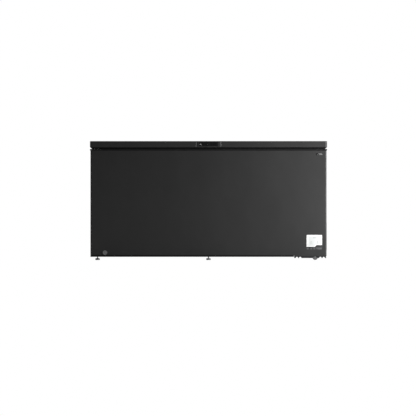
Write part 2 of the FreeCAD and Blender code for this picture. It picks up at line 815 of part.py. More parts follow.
def circuit():
    """Copper lines in the bay, and the filter drier between condenser and capillary."""
    x, y = size("pump_along"), size("pump_behind")
    wall = size("bay_side")
    rim = size("pump_radius")
    lines = [
        # suction, in at the shell's rear left
        ([(wall, y + 130, 262), (x - 20, y + 130, 262), (x - 20, y + 130, 190),
          (x - 20, y + math.sqrt(rim**2 - 20**2) - 2, 190)], 16, 4),
        # discharge, out at the front right
        ([(x + 35, y - math.sqrt(rim**2 - 35**2) + 2, 185), (x + 35, y - 120, 185), (x + 35, y - 120, 272),
          (wall, y - 120, 272)], 14, 3),
        # liquid line from the condenser to the drier
        ([(wall, -180, 165), (640, -180, 165), (640, -180, 143)], 8, 2.4),
    ]
    node("copper_lines", feature("copper_lines", Part.makeCompound([swept(*a) for a in lines])))
    outline = [
        ("0", "-48"), ("4", "-48"), ("4", "-38"), ("12", "-28"), ("12", "28"),
        ("4", "38"), ("4", "48"), ("0", "48"),
    ]
    node("filter_drier", place(turned("filter_drier", outline), "640", "-180", "95"))


def power_box():
    """The terminal and control box on the partition, beside the cord's inlet."""
    top = 260
    body = slab("power_box", ("bay_side + 0.5", "bay_side + 46"), ("-60", "40"), (top - 90, top), "4")
    dress(body, "Fillet", "3", level(top))
    node("power_box", body)


LOUVRES = 9


def side_grille():
    """A plastic louvre set in the shell's right side."""
    across = widened(("vent_front", "vent_back"), "vent_lip")
    rise = widened(("vent_low", "vent_high"), "vent_lip")
    frame = slab("grille_frame", (SIDE + " - 9", SIDE + " + 0.8"), across, rise)
    # behind the shell the frame is narrower than its rim, so that it drops into the opening
    behind = (SIDE + " - 12", SIDE)
    past = (widened(across, "2"), widened(rise, "2"))
    rim = cut(
        box(behind, *past, "around_rim"),
        box(behind, widened(("vent_front", "vent_back"), "-1"), widened(("vent_low", "vent_high"), "-1")),
    )
    slots = [
        box(
            (SIDE + " - 12", SIDE + " + 5"),
            widened(("vent_front", "vent_back"), "-12"),
            (f"vent_low + 8 + {i} * louvre_pitch", f"vent_low + 8 + ({i} + 0.5) * louvre_pitch"),
            "louvre_slot",
        )
        for i in range(LOUVRES)
    ]
    node("side_grille", cut(frame, rim, *slots, name="side_grille"))


def rear_cover():
    """The slotted plate over the back of the machine bay, with the gland's hole."""
    points = [
        ("bay_side + 3", "tray_top + 1"),
        (SIDE + " - 16.5", "tray_top + 1"),
        (SIDE + " - 16.5", "bay_roof - 1"),
        ("bay_side + 3", "bay_roof - 1"),
    ]
    body = padded("cover_plate", "XZ", points, ("lid_back - 1.8", "lid_back - 0.6"))
    drawing = sketch(body, "XZ", "-lid_back")
    polygon(drawing, [("630", "110"), ("780", "110"), ("780", "116"), ("630", "116")])
    pocket = body.newObject("PartDesign::Pocket", "cover_slot")
    pocket.Profile = drawing
    pocket.Type = 1
    pocket.Midplane = True
    rows = body.newObject("PartDesign::LinearPattern", "cover_slots")
    rows.Originals = [pocket]
    rows.Direction = (drawing, ["V_Axis"])
    rows.Length = 160
    rows.Occurrences = 9
    body.Tip = rows
    doc.recompute()
    hole = rod("y", ("lid_back - 10", "lid_back + 10"), GLAND, "8.2")
    node("rear_cover", cut(body, hole, name="rear_cover"))


def cord_gland():
    """The bush that a supply cord enters by. The cord itself is not part of the model."""
    sleeve = rod("y", ("lid_back - 12", "lid_back + 8"), GLAND, "8")
    flange = rod("y", ("lid_back - 0.6", "lid_back + 3"), GLAND, "12")
    bore = rod("y", ("lid_back - 20", "lid_back + 20"), GLAND, "4.2")
    node("cord_gland", cut(fuse(sleeve, flange), bore, name="cord_gland"))


# ---------------------------------------------------------------- drain


def drain():
    """Pipe, pull-out sleeve and dial at the front, and the stopper in the tub's floor."""
    x, y, z = -size("drain_along"), -size("drain_behind"), size("drain_height")
    face = size("overhang") - size("lid_front")
    top = size("tub_floor") - size("tub_sheet")
    bends = [(x, face, z), (x, y, z), (x, y, top)]
    pipe = tube(bends, 14, size("bush_radius") + 1.6, size("bush_radius"))
    node("drain_pipe", feature("drain_pipe", pipe))
    line = ("-drain_along", "drain_height")
    sleeve = rod("y", (f"{FRONT} - 1.8", f"{FRONT} + 55"), line, "bush_radius - running_gap")
    bore = rod("y", (f"{FRONT} - 5", f"{FRONT} + 60"), line, "bush_radius - 1.8")
    node("drain_sleeve", cut(sleeve, bore, name="drain_sleeve"))
    disc = rod("y", (f"{FRONT} - 5.5", f"{FRONT} - 0.5"), line, "dial_radius")
    dish = rod("y", (f"{FRONT} - 8", f"{FRONT} - 4"), line, "dial_radius - 3")
    socket = rod("y", (f"{FRONT} - 2", f"{FRONT} + 5"), line, "bush_radius")
    spout = rod("y", (f"{FRONT} - 8", f"{FRONT} + 2"), ("-drain_along", "drain_height - 5"), "2")
    grip = box(
        ("-drain_along - 2", "2 - drain_along"),
        (f"{FRONT} - 5.5", f"{FRONT} - 3.5"),
        ("drain_height - 1", "drain_height + 11.5"),
        "dial_grip",
    )
    dial = cut(fuse(cut(disc, dish), grip), socket, spout, name="drain_dial")
    node("drain_dial", dial)
    outline = [
        ("0", "-16"), ("bush_radius - 0.6", "-16"), ("bush_radius - 0.3", "-0.7"),
        ("9.9", "-0.7"), ("9.9", "0.4"), ("15", "0.4"), ("15", "3.5"), ("4", "5"), ("4", "12"),
        ("0", "12"),
    ]
    stopper = turned("stopper_body", outline)
    place(stopper, "-drain_along", "-drain_behind", "tub_floor")
    eye = rod("y", ("-drain_behind - 8", "8 - drain_behind"), ("-drain_along", "tub_floor + 8.5"), "1.5")
    node("drain_stopper", cut(stopper, eye, name="drain_stopper"))


# ---------------------------------------------------------------- feet and wheels


def feet():
    """Levelling feet: each a pad with a threaded stem, in a nut under the base panel."""
    nuts = []
    for name, at in FEET.items():
        outline = [
            ("0", "0"), ("foot_radius - 1", "0"), ("foot_radius", "1.5"), ("foot_radius", "10.5"),
            ("foot_radius - 1.5", "12.5"), ("stem_radius + 2", "13"), ("stem_radius", "15"),
            ("stem_radius", "50"), ("0", "50"),
        ]
        label = "foot_" + name
        node(label, place(turned(label, outline), *at))
        block = rod("z", ("trim_top - 7", "trim_top + 0.7"), at, "8")
        bore = rod("z", ("trim_top - 9", "trim_top + 3"), at, "stem_radius + running_gap")
        nuts.append(cut(block, bore))
    node("foot_nuts", group(*nuts))


def wheels():
    """Two fixed rollers under the machine end, turning about axles that run front to back."""
    tread, hub = "wheel_radius", "axle_radius + running_gap"
    centre = ("wheel_along", "wheel_radius")
    mounts = []
    ends = {"front": ("-foot_ahead - 20.5", 1), "rear": ("foot_behind + 18.5", -1)}
    for name, (face, inward) in ends.items():
        def reach(depth):
            """A span from the wheel's outer face, depths counted towards the cabinet's middle."""
            a, b = (f"{face} + {inward} * ({d})" for d in depth)
            return (a, b) if inward > 0 else (b, a)

        roller = rod("y", reach((0, "wheel_width")), centre, tread)
        dish = rod("y", reach((-1, 2)), centre, "wheel_radius - 4")
        boss = rod("y", reach((0.5, 3)), centre, "axle_radius + 4")
        bore = rod("y", reach((-2, 18)), centre, hub)
        label = "wheel_" + name
        node(label, cut(fuse(cut(roller, dish), boss), bore, name=label))
        shaft = rod("y", reach((-0.8, 21)), centre, "axle_radius")
        head = rod("y", reach((-1.2, -0.2)), centre, "axle_radius + 2")
        plate = box(
            ("wheel_along - 14", "wheel_along + 14"),
            reach((17, 20)),
            ("wheel_radius - 8", "tray_top - tray_sheet"),
            "wheel_plate",
        )
        foot = box(
            ("wheel_along - 14", "wheel_along + 14"),
            reach((20, 45)),
            ("tray_top - tray_sheet - 2.5", "tray_top - tray_sheet"),
            "wheel_foot",
        )
        mounts.append(fuse(plate, foot, shaft, head))
    node("wheel_mounts", group(*mounts))


# ---------------------------------------------------------------- hinges

LID_TRAVEL = 80  # degrees


def hinge_bracket(side, x):
    """A channel on the cabinet's back that guides spring and plunger, with two ears for the pin."""
    t, back = "hinge_plate", "bracket_back"
    wing = 18
    points = [
        (f"{x} - bracket_half - {wing}", BACK),
        (f"{x} + bracket_half + {wing}", BACK),
        (f"{x} + bracket_half + {wing}", f"{BACK} + {t}"),
        (f"{x} + bracket_half", f"{BACK} + {t}"),
        (f"{x} + bracket_half", back),
        (f"{x} - bracket_half", back),
        (f"{x} - bracket_half", f"{BACK} + {t}"),
        (f"{x} - bracket_half - {wing}", f"{BACK} + {t}"),
    ]
    channel = padded(f"channel_{side}", "XY", points, ("bracket_foot", "bracket_top"))
    dress(channel, "Fillet", "2", lambda e: upright(e) and abs(e.BoundBox.YMax - size("bracket_back")) < 0.01)
    hollow = box(
        (f"{x} - bracket_half + {t}", f"{x} + bracket_half - {t}"),
        (f"{BACK} + {t}", f"{back} - {t}"),
        (f"bracket_foot + {t}", "bracket_top + 5"),
        "channel_hollow",
    )
    ears = []
    for low, high in ((f"{x} - bracket_half", f"{x} - bracket_half + {t}"),
                      (f"{x} + bracket_half - {t}", f"{x} + bracket_half")):
        ears.append(rod("x", (low, high), ("hinge_behind", "hinge_height"), "11.5"))
        ears.append(
            box(
                (low, high),
                ("hinge_behind - 11.5", "hinge_behind + 11.5"),
                ("bracket_top - 1", "hinge_height"),
                "ear",
            )
        )
    pin = rod(
        "x",
        (f"{x} - bracket_half - 5", f"{x} + bracket_half + 5"),
        ("hinge_behind", "hinge_height"),
        "hinge_pin",
    )
    screws = [
        rod("y", (f"{BACK} - 5", f"{BACK} + 10"), at, "2.6") for at in screw_spots(x)
    ]
    label = f"hinge_bracket_{side}"
    node(label, cut(fuse(cut(channel, hollow), *ears), pin, *screws, name=label))


def screw_spots(x):
    """The four screws that hold a bracket to the cabinet."""
    return [
        (f"{x} + {s} * (bracket_half + 10)", height)
        for s in (-1, 1)
        for height in ("bracket_foot + 20", "bracket_top - 20")
    ]


def cam_profile():
    """The cam under the pin. Its height over a flat plunger falls evenly as the lid opens."""
    start, loss = size("cam_start"), size("cam_loss")
    points = []
    for step in range(7):
        turn = math.radians(step * 15)
        height = start - loss * turn
        y = height * math.sin(turn) - loss * math.cos(turn)
        z = -height * math.cos(turn) - loss * math.sin(turn)
        points.append(FreeCAD.Vector(0, y, z))
    flank = Part.BSplineCurve()
    flank.interpolate(points)
    close = [
        Part.LineSegment(points[-1], FreeCAD.Vector(0, 6, 5)).toShape(),
        Part.LineSegment(FreeCAD.Vector(0, 6, 5), FreeCAD.Vector(0, -9, 5)).toShape(),
        Part.LineSegment(FreeCAD.Vector(0, -9, 5), points[0]).toShape(),
    ]
    return Part.Face(Part.Wire([flank.toShape(), *close]))


def hinge_arm(side, x):
    """The lid's leaf: a plate on the rear skirt, a barrel round the pin and the cam under it."""
    t = "hinge_plate"
    leaf = box(
        (f"{x} - 46", f"{x} + 46"),
        (f"{BACK} + 0.2", f"{BACK} + 0.2 + {t}"),
        ("hinge_height + 14", "lid_top - 6"),
        "leaf",
    )
    tongue = box(
        (f"{x} - 27", f"{x} + 27"),
        (f"{BACK} + 0.2", f"{BACK} + 0.2 + {t}"),
        ("hinge_height", "hinge_height + 15"),
        "tongue",
    )
    neck = box(
        (f"{x} - 27", f"{x} + 27"),
        (f"{BACK} + 0.2", "hinge_behind"),
        ("hinge_height + 3", "hinge_height + 8"),
        "neck",
    )
    barrel = rod("x", (f"{x} - 28", f"{x} + 28"), ("hinge_behind", "hinge_height"), "8")
    thickness = FreeCAD.Vector(2 * size("cam_half"), 0, 0)
    cam = feature(f"cam_{side}", cam_profile().extrude(thickness))
    place(cam, f"{x} - cam_half", "hinge_behind", "hinge_height")
    bore = rod(
        "x", (f"{x} - 30", f"{x} + 30"), ("hinge_behind", "hinge_height"), "hinge_pin + running_gap"
    )
    holes = [rod("y", (f"{BACK} - 5", f"{BACK} + 8"), at, "2.6") for at in leaf_spots(x)]
    label = f"hinge_arm_{side}"
    node(label, cut(fuse(leaf, tongue, neck, barrel, cam), bore, *holes, name=label))


def leaf_spots(x):
    return [(f"{x} + {s} * 38", "lid_top - 15") for s in (-1, 1)]


def hinges():
    """Two sprung hinges. Each spring pushes a plunger up against the lid arm's cam."""
    pins, cabinet_screws, lid_screws = [], [], []
    for side, x in HINGES.items():
        hinge_bracket(side, x)
        hinge_arm(side, x)
        crown = f"hinge_height - cam_start - {PRESSED}"
        piston = rod("z", ("spring_top", crown), (x, "hinge_behind"), "10.5")
        stem = rod("z", ("spring_top - 20", "spring_top"), (x, "hinge_behind"), "5")
        label = f"hinge_plunger_{side}"
        node(label, fuse(piston, stem, name=label))
        node(f"hinge_spring_{side}", spring(side, x))
        pin = rod(
            "x",
            (f"{x} - bracket_half - 2", f"{x} + bracket_half + 3"),
            ("hinge_behind", "hinge_height"),
            "hinge_pin",
        )
        head = rod(
            "x",
            (f"{x} - bracket_half - 4", f"{x} - bracket_half - 0.2"),
            ("hinge_behind", "hinge_height"),
            "hinge_pin + 2.5",
        )
        pins.append(fuse(pin, head))
        cabinet_screws += [screw(at, f"{BACK} + hinge_plate") for at in screw_spots(x)]
        lid_screws += [screw(at, f"{BACK} + 0.2 + hinge_plate") for at in leaf_spots(x)]
    node("hinge_pins", group(*pins))
    node("hinge_screws_cabinet", group(*cabinet_screws))
    node("hinge_screws_lid", group(*lid_screws))


def screw(at, face):
    """A pan-head screw whose head sits on a face that looks backwards."""
    shank = rod("y", (f"{BACK} + 0.1", face), at, "2.4")
    head = rod("y", (face, f"{face} + 2.4"), at, "4.5")
    return fuse(shank, head)


def spring(side, x):
    """A compression spring, one coil pitch per turn, round a vertical axis."""
    body = doc.addObject("PartDesign::Body", f"spring_{side}")
    drawing = sketch(body, "XZ", 0)
    drawing.addGeometry(Part.Circle(FreeCAD.Vector(8, 0, 0), FreeCAD.Vector(0, 0, 1), 1.6), False)
    pin_down(drawing, 0, 3, ("spring_radius", "0"), "coil")
    number = drawing.addConstraint(Sketcher.Constraint("Radius", 0, 1.6))
    drawing.renameConstraint(number, "wire")
    drawing.setExpression("Constraints.wire", bound("spring_wire"))
    doc.recompute()
    coil = body.newObject("PartDesign::AdditiveHelix", f"coil_{side}")
    coil.Profile = drawing
    coil.ReferenceAxis = (drawing, ["V_Axis"])
    coil.Mode = 0
    coil.setExpression("Pitch", bound("spring_pitch"))
    coil.setExpression("Height", bound("spring_top - spring_foot - 2 * spring_wire"))
    doc.recompute()
    return place(body, x, "hinge_behind", "spring_foot + spring_wire")


# ---------------------------------------------------------------- lid


def lid_skin():
    """The painted steel cover: a shallow pan, open below, with a cut-out for the controls."""
    body = slab(
        "lid_pan",
        (f"-{HALF}", HALF),
        ("-lid_front", BACK),
        ("skirt_bottom", "lid_top"),
        "lid_corner",
    )
    dress(body, "Fillet", "lid_edge", level(size("lid_top")))
    t = "sheet_steel"
    inside = slab(
        "lid_pan_inside",
        (f"{t} - {HALF}", f"{HALF} - {t}"),
        (f"{t} - lid_front", f"{BACK} - {t}"),
        ("skirt_bottom - 5", f"lid_top - {t}"),
        f"lid_corner - {t}",
    )
    dress(inside, "Fillet", f"lid_edge - {t}", level(size("lid_top") - size("sheet_steel")))
    opening = box(("-78", "78"), ("-lid_front - 5", "10 - lid_front"), ("798", "820"), "opening")
    node("lid_skin", cut(body, inside, opening, name="lid_skin"))


def ring(label, inset_out, inset_in, z, bevel=None):
    """A rectangular ring that follows the lid's outline at two insets."""
    def sides(inset):
        return (f"{inset} - {HALF}", f"{HALF} - {inset}"), (f"{inset} - lid_front", f"{BACK} - {inset}")

    body = slab(label + "_outer", *sides(inset_out), z, f"max(lid_corner - {inset_out}; 3)")
    if bevel is not None:
        dress(body, "Chamfer", bevel, level(body.Shape.BoundBox.ZMin))
    x, y = sides(inset_in)
    hole = slab(label + "_hole", x, y, (f"{z[0]} - 5", f"{z[1]} + 5"), "6")
    return cut(body, hole, name=label)


def lid_underside():
    """Bevelled frame, seal, moulded inner panel and foam."""
    node("lid_frame", ring("lid_frame", 0, 34, ("frame_bottom", "skirt_bottom"), "9.9"))
    node("lid_seal", ring("lid_seal", 13, 31, ("collar_top + 0.2", "frame_bottom")))
    t = "liner_sheet"
    flange = slab(
        "liner_flange",
        (f"20 - {HALF}", f"{HALF} - 20"),
        ("20 - lid_front", f"{BACK} - 20"),
        ("skirt_bottom", f"skirt_bottom + {t}"),
        "10",
    )
    plug_x, plug_y = ("-plug_side", "plug_side"), ("-plug_front", "plug_back")
    low, sheet = size("plug_low"), size("liner_sheet")
    plug = slab("liner_plug", plug_x, plug_y, ("plug_low", "skirt_bottom"), "plug_corner")
    dress(plug, "Fillet", "plug_edge", level(low))
    hollow = slab(
        "liner_hollow",
        widened(plug_x, "-" + t),
        widened(plug_y, "-" + t),
        (f"plug_low + {t}", "skirt_bottom + 5"),
        f"plug_corner - {t}",
    )
    dress(hollow, "Fillet", f"plug_edge - {t}", level(low + sheet))
    # a shallow pressed recess stiffens the panel
    wide, deep = ("-pressing_side", "pressing_side"), ("-pressing_front", "pressing_back")
    flat = size("pressing_top")
    pressing = slab("liner_pressing", wide, deep, ("plug_low - 7", "pressing_top"), "pressing_corner")
    dress(pressing, "Fillet", "pressing_edge", level(flat))
    pressed = slab(
        "liner_pressed",
        widened(wide, t),
        widened(deep, t),
        ("plug_low - 7", f"pressing_top + {t}"),
        f"pressing_corner + {t}",
    )
    dress(pressed, "Fillet", f"pressing_edge + {t}", level(flat + sheet))
    shell = cut(fuse(flange, cut(plug, pressing)), cut(hollow, pressed), name="lid_liner")
    node("lid_liner", shell)
    core = slab(
        "lid_core",
        (f"3 - {HALF}", f"{HALF} - 3"),
        ("3 - lid_front", f"{BACK} - 3"),
        ("skirt_bottom + 2", "lid_top - 2"),
        "lid_corner",
    )
    lower_core = slab(
        "lid_lower_core",
        widened(plug_x, "-4"),
        widened(plug_y, "-4"),
        ("plug_low + 7", "skirt_bottom + 3"),
        "plug_corner - 2",
    )
    pocket = box(("-84", "84"), ("-lid_front", "30 - lid_front"), ("796", "822"), "core_pocket")
    node("lid_insulation", cut(fuse(core, lower_core), pocket, name="lid_insulation"))


def control_panel():
    """A proud bezel on the lid's front with a display window and two keys, and its board."""
    face, base = "(-lid_front - panel_proud)", "-lid_front"
    rise = ("panel_low", "panel_high")
    plates = [box(("flank - panel_half", "panel_half - flank"), (face, base), rise, "bezel_middle")]
    for sign in (-1, 1):
        knee = f"{sign} * (panel_half - flank)"
        end = ("-panel_half", knee) if sign < 0 else (knee, "panel_half")
        drum = rod("z", rise, (knee, f"{face} + flank_radius"), "flank_radius", "flank_drum")
        plates.append(common(drum, box(end, (face, base), rise, "flank_block")))
    box_outside = box(("-76", "76"), (base, "22 - lid_front"), ("799", "819"), "pod")
    box_inside = box(("-74", "74"), (f"{base} + 0.5", "30 - lid_front"), ("800.5", "817.5"))
    recess = box(
        ("-window_half", "window_half"), (f"{face} - 5", f"{face} + 1.4"), ("window_low", "window_high")
    )
    through = box(("-62", "62"), (f"{face} - 5", f"{base} + 1"), ("801", "815"))
    bezel = cut(fuse(*plates, box_outside), box_inside, recess, through, name="control_bezel")
    node("control_bezel", bezel)
    glass = box(
        ("0.2 - window_half", "window_half - 0.2"),
        (f"{face} + 0.1", f"{face} + 1.3"),
        ("window_low + 0.2", "window_high - 0.2"),
        "glass",
    )
    holes = []
    for side, x in (("left", "-key_along"), ("right", "key_along")):
        at = (x, "key_height")
        holes.append(rod("y", (f"{face} - 2", f"{face} + 3"), at, "key_radius + 0.2"))
        cap = rod("y", (face, f"{face} + 2"), at, "key_radius")
        stalk = rod("y", (f"{face} + 2", f"{face} + 3.6"), at, "2")
        label = f"key_{side}"
        node(label, fuse(cap, stalk, name=label))
    node("display_window", cut(glass, *holes, name="display_window"))
    board = box(("-70", "70"), ("5 - lid_front", "6.6 - lid_front"), ("801.5", "816.5"), "board")
    parts = [board]
    for x in ("-key_along", "key_along"):
        parts.append(
            box((f"{x} - 3", f"{x} + 3"), ("1.4 - lid_front", "5 - lid_front"), ("805", "811"))
        )
    parts.append(box(("-34", "34"), ("-lid_front + 0.6", "5 - lid_front"), ("803", "813"), "digits"))
    node("control_board", fuse(*parts, name="control_board"))


def lamp():
    """The lamp under the lid: a lens over a strip with six diodes."""
    along, across = ("-lamp_half", "lamp_half"), ("-lamp_front", "lamp_depth - lamp_front")
    outside = slab("lamp_cover", along, across, ("lamp_low", "plug_low"), "8")
    dress(outside, "Fillet", "2.5", level(size("lamp_low")))
    inside = slab(
        "lamp_cover_inside",
        widened(along, "-lamp_wall"),
        widened(across, "-lamp_wall"),
        ("lamp_low + lamp_wall", "plug_low + 3"),
        "8 - lamp_wall",
    )
    node("lamp_lens", cut(outside, inside, name="lamp_lens"))
    back = "plug_low - 1.6"
    strip = box(widened(along, "-5"), widened(across, "-7"), (back, "plug_low"), "strip")
    middle = "lamp_depth / 2 - lamp_front"
    diodes = [
        box((x - 2.5, x + 2.5), (f"{middle} - 2.5", f"{middle} + 2.5"), (f"{back} - 1.6", back))
        for x in spread(-50, 50, 6)
    ]
    node("lamp_board", fuse(strip, *diodes, name="lamp_board"))


# ---------------------------------------------------------------- baskets


def rectangle(x, y, z, bend, radius):
    """A level ring of wire with rounded corners."""
    middle = sum(x) / 2
    points = [
        (middle, y[0], z), (x[0], y[0], z), (x[0], y[1], z), (x[1], y[1], z), (x[1], y[0], z),
        (middle, y[0], z),
    ]
    return jointed(points, bend, radius)


def basket(label, left):
    """A welded wire basket. Two hangers reach from its frame to the tub's ledges."""
    thick, thin = size("basket_wire"), size("basket_rod")
    right = left + size("basket_width")
    top = size("ledge_height") + thick
    low = top - size("basket_depth")
    taper = 12
    y0, y1 = -size("tub_front") + 16, size("tub_back") - 16
    ledges = (-size("tub_front") - 6, size("tub_back") + 6)
    bars = rectangle((left, right), (y0, y1), top, 14, thick)
    for wall, ledge, sign in ((y0, ledges[0], -1), (y1, ledges[1], 1)):
        start = wall + sign * thick
        ends = (left + 30, right - 30)
        bars.append(
            swept(
                [(ends[0], start, top), (ends[0], ledge, top), (ends[1], ledge, top),
                 (ends[1], start, top)],
                8,
                thick,
            )
        )
    # hoops that run from front to back, welded under the frame
    for x in spread(left + 28, right - 28, 7):
        bars += jointed(
            [(x, y0, top - thick), (x, y0 + taper, low), (x, y1 - taper, low),
             (x, y1, top - thick)],
            8,
            thin,
        )
    # hoops that run from end to end and pass under the others
    under = low - 2 * thin
    for y in spread(y0 + 32, y1 - 32, 12):
        bars += jointed(
            [(left, y, top - thick), (left + taper, y, under), (right - taper, y, under),
             (right, y, top - thick)],
            8,
            thin,
        )
    # bands outside the hoops
    for share in (0.33, 0.66):
        out = taper * share - 2 * thin - 0.1
        height = top - share * (top - low)
        bars += rectangle((left + out, right - out), (y0 + out, y1 - out), height, 18, thin)
    node(label, feature(label, Part.makeCompound(bars)))


def spread(low, high, count):
    """Evenly spaced values from low to high."""
    return [low + i * (high - low) / (count - 1) for i in range(count)]


def baskets():
    inner, width = size("basket_inner"), size("basket_width")
    basket("basket_left", -inner - width)
    basket("basket_right", inner)


# ---------------------------------------------------------------- labels


def front_marks():
    """A blank badge at the top right and a blank care label over the machine bay."""
    raised = (f"{FRONT} - 1.2", FRONT)
    rise = widened(("badge_height", "badge_height"), "6")
    disc = rod("y", raised, ("badge_along", "badge_height"), "6.5", "badge_disc")
    plate = box(("badge_along + 9", "badge_end"), raised, rise, "badge_plate")
    node("badge", group(disc, plate))
    printed = (f"{FRONT} - 0.3", FRONT)
    label = box(("label_left", "label_right"), printed, ("label_low", "label_high"), "care_label")
    node("care_label", label)


# ---------------------------------------------------------------- build, check and write


def build():
    for make in (
        outer_shell, back_panel, base_panel, bottom_trim, top_collar, inner_tub, insulation,
        evaporator, condenser, machine_tray, compressor, compressor_mounts, relay_cover, circuit,
        power_box, side_grille, rear_cover, cord_gland, drain, feet, wheels, hinges, lid_skin,
        lid_underside, control_panel, lamp, baskets, front_marks,
    ):
        make()
    doc.recompute()


def check():
    """Stops with a message if any object failed or any sub-part is unsound."""
    failed = [o.Label for o in doc.Objects if "Invalid" in o.State or "Error" in o.State]
    if failed:
        sys.exit(f"these objects failed: {failed}")
    for part in nodes:
        shape = part.Shape
        if shape.isNull() or not shape.isValid() or not shape.Solids:
            sys.exit(f"{part.Label} has no sound solid")
        if any(s.Volume <= 0 for s in shape.Solids):
            sys.exit(f"{part.Label} has an inside-out solid")
    labels = [part.Label for part in nodes]
    if len(set(labels)) != len(labels) or len(labels) > 60:
        sys.exit(f"{len(labels)} sub-parts, with repeats: {sorted(labels)}")


def write():
    os.makedirs("parts", exist_ok=True)
    for part in nodes:
        part.Shape.exportStep(os.path.join("parts", part.Label + ".step"))
    print(f"{len(nodes)} sub-parts written")


build()
check()
write()
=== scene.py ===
"""A long black chest freezer: materials, trim detail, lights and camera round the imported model."""

import json
import math

import bmesh
import bpy
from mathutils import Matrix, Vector


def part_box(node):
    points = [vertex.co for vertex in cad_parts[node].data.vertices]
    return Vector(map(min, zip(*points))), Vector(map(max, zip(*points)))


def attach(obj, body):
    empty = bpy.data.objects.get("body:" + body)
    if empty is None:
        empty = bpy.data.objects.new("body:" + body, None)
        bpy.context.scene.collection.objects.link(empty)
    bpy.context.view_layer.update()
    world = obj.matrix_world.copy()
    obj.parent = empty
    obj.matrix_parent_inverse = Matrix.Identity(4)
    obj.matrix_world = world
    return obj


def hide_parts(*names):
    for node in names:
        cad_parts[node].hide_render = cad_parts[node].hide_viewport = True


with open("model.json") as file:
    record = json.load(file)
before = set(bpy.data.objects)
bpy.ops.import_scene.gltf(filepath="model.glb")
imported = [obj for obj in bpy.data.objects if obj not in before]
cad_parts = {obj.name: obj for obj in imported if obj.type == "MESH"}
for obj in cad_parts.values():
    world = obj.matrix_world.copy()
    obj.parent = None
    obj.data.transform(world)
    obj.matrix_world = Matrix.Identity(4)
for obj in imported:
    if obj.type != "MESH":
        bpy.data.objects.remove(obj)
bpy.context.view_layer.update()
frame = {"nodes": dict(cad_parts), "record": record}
nodes = frame["nodes"]
MM = 0.001  # a millimetre in the model's metres

# ------------------------------------------------------------------ shader helpers


class Paint:
    """A Principled material and short calls that add nodes to it.

    Textures follow object coordinates, which are the model's own metres, so a texture's
    scale is about the number of its features in a metre.
    """

    def __init__(self, name, colour, roughness, metallic=0.0):
        self.material = bpy.data.materials.new(name)
        self.material.use_nodes = True
        self.tree = self.material.node_tree
        self.shader = self.tree.nodes["Principled BSDF"]
        self.set("Metallic", metallic)
        self.set("Roughness", roughness)
        self.set("Base Color", (*colour, 1))
        self.colour = colour
        self.material.diffuse_color = (*colour, 1)
        self.place = self.tree.nodes.new("ShaderNodeTexCoord").outputs["Object"]
        self.normal = None

    def set(self, socket, value):
        self.shader.inputs[socket].default_value = value
        return self

    def link(self, source, target):
        self.tree.links.new(source, target)

    def stretched(self, scale):
        """The coordinates scaled along each axis."""
        mapping = self.tree.nodes.new("ShaderNodeMapping")
        mapping.inputs["Scale"].default_value = scale
        self.link(self.place, mapping.inputs["Vector"])
        return mapping.outputs["Vector"]

    def noise(self, scale, detail=2.0, rough=0.5, vector=None):
        node = self.tree.nodes.new("ShaderNodeTexNoise")
        node.inputs["Scale"].default_value = scale
        node.inputs["Detail"].default_value = detail
        node.inputs["Roughness"].default_value = rough
        self.link(vector or self.place, node.inputs["Vector"])
        return node.outputs["Fac"]

    def cells(self, scale, output="Distance"):
        """Crystals or pores: each cell's distance from its centre, or a colour of its own."""
        node = self.tree.nodes.new("ShaderNodeTexVoronoi")
        node.inputs["Scale"].default_value = scale
        self.link(self.place, node.inputs["Vector"])
        return node.outputs[output]

    def ramp(self, value, *stops):
        """Maps 0 to 1 through colour stops (position, colour)."""
        node = self.tree.nodes.new("ShaderNodeValToRGB")
        band = node.color_ramp
        while len(band.elements) < len(stops):
            band.elements.new(0.5)
        for element, (at, colour) in zip(band.elements, stops):
            element.position = at
            element.color = (*colour, 1)
        self.link(value, node.inputs["Fac"])
        return node.outputs["Color"]

    def levels(self, value, low, high, start=0.3, end=0.7):
        """Maps a band of a value to a range."""
        node = self.tree.nodes.new("ShaderNodeMapRange")
        for socket, number in (
            ("From Min", start), ("From Max", end), ("To Min", low), ("To Max", high),
        ):
            node.inputs[socket].default_value = number
        self.link(value, node.inputs["Value"])
        return node.outputs["Result"]

    def tint(self, value, darker, lighter, start=0.3, end=0.7):
        """Varies the base colour between two multiples of itself."""
        low = tuple(min(1.0, c * darker) for c in self.colour)
        high = tuple(min(1.0, c * lighter) for c in self.colour)
        self.link(self.ramp(value, (start, low), (end, high)), self.shader.inputs["Base Color"])
        return self

    def vary(self, socket, value, low, high, start=0.3, end=0.7):
        self.link(self.levels(value, low, high, start, end), self.shader.inputs[socket])
        return self

    def bump(self, height, strength, depth):
        """Adds a bump over any earlier one. depth is in metres."""
        node = self.tree.nodes.new("ShaderNodeBump")
        node.inputs["Strength"].default_value = strength
        node.inputs["Distance"].default_value = depth
        self.link(height, node.inputs["Height"])
        if self.normal is not None:
            self.link(self.normal, node.inputs["Normal"])
        self.normal = node.outputs["Normal"]
        self.link(self.normal, self.shader.inputs["Normal"])
        return self


def satin_paint(name, colour, roughness):
    """Stoved paint: fine orange peel, with faint handling marks in its gloss."""
    paint = Paint(name, colour, roughness)
    marks = paint.noise(7, detail=6, rough=0.62, vector=paint.stretched((1, 1, 0.5)))
    peel = paint.noise(420, detail=1)
    paint.tint(marks, 0.95, 1.05)
    paint.vary("Roughness", marks, roughness - 0.02, roughness + 0.02)
    return paint.bump(peel, 0.05, 0.0004)


def moulded(name, colour, roughness, grain=1600, depth=0.00006, mottle=0.07):
    """Moulded plastic with a fine spark-eroded grain. mottle is how far its shade wanders."""
    paint = Paint(name, colour, roughness)
    paint.tint(paint.noise(35, detail=4), 1 - mottle, 1 + mottle)
    grain_height = paint.noise(grain, detail=2)
    paint.vary("Roughness", paint.noise(60, detail=3), roughness - 0.05, roughness + 0.05)
    return paint.bump(grain_height, 0.35, depth)


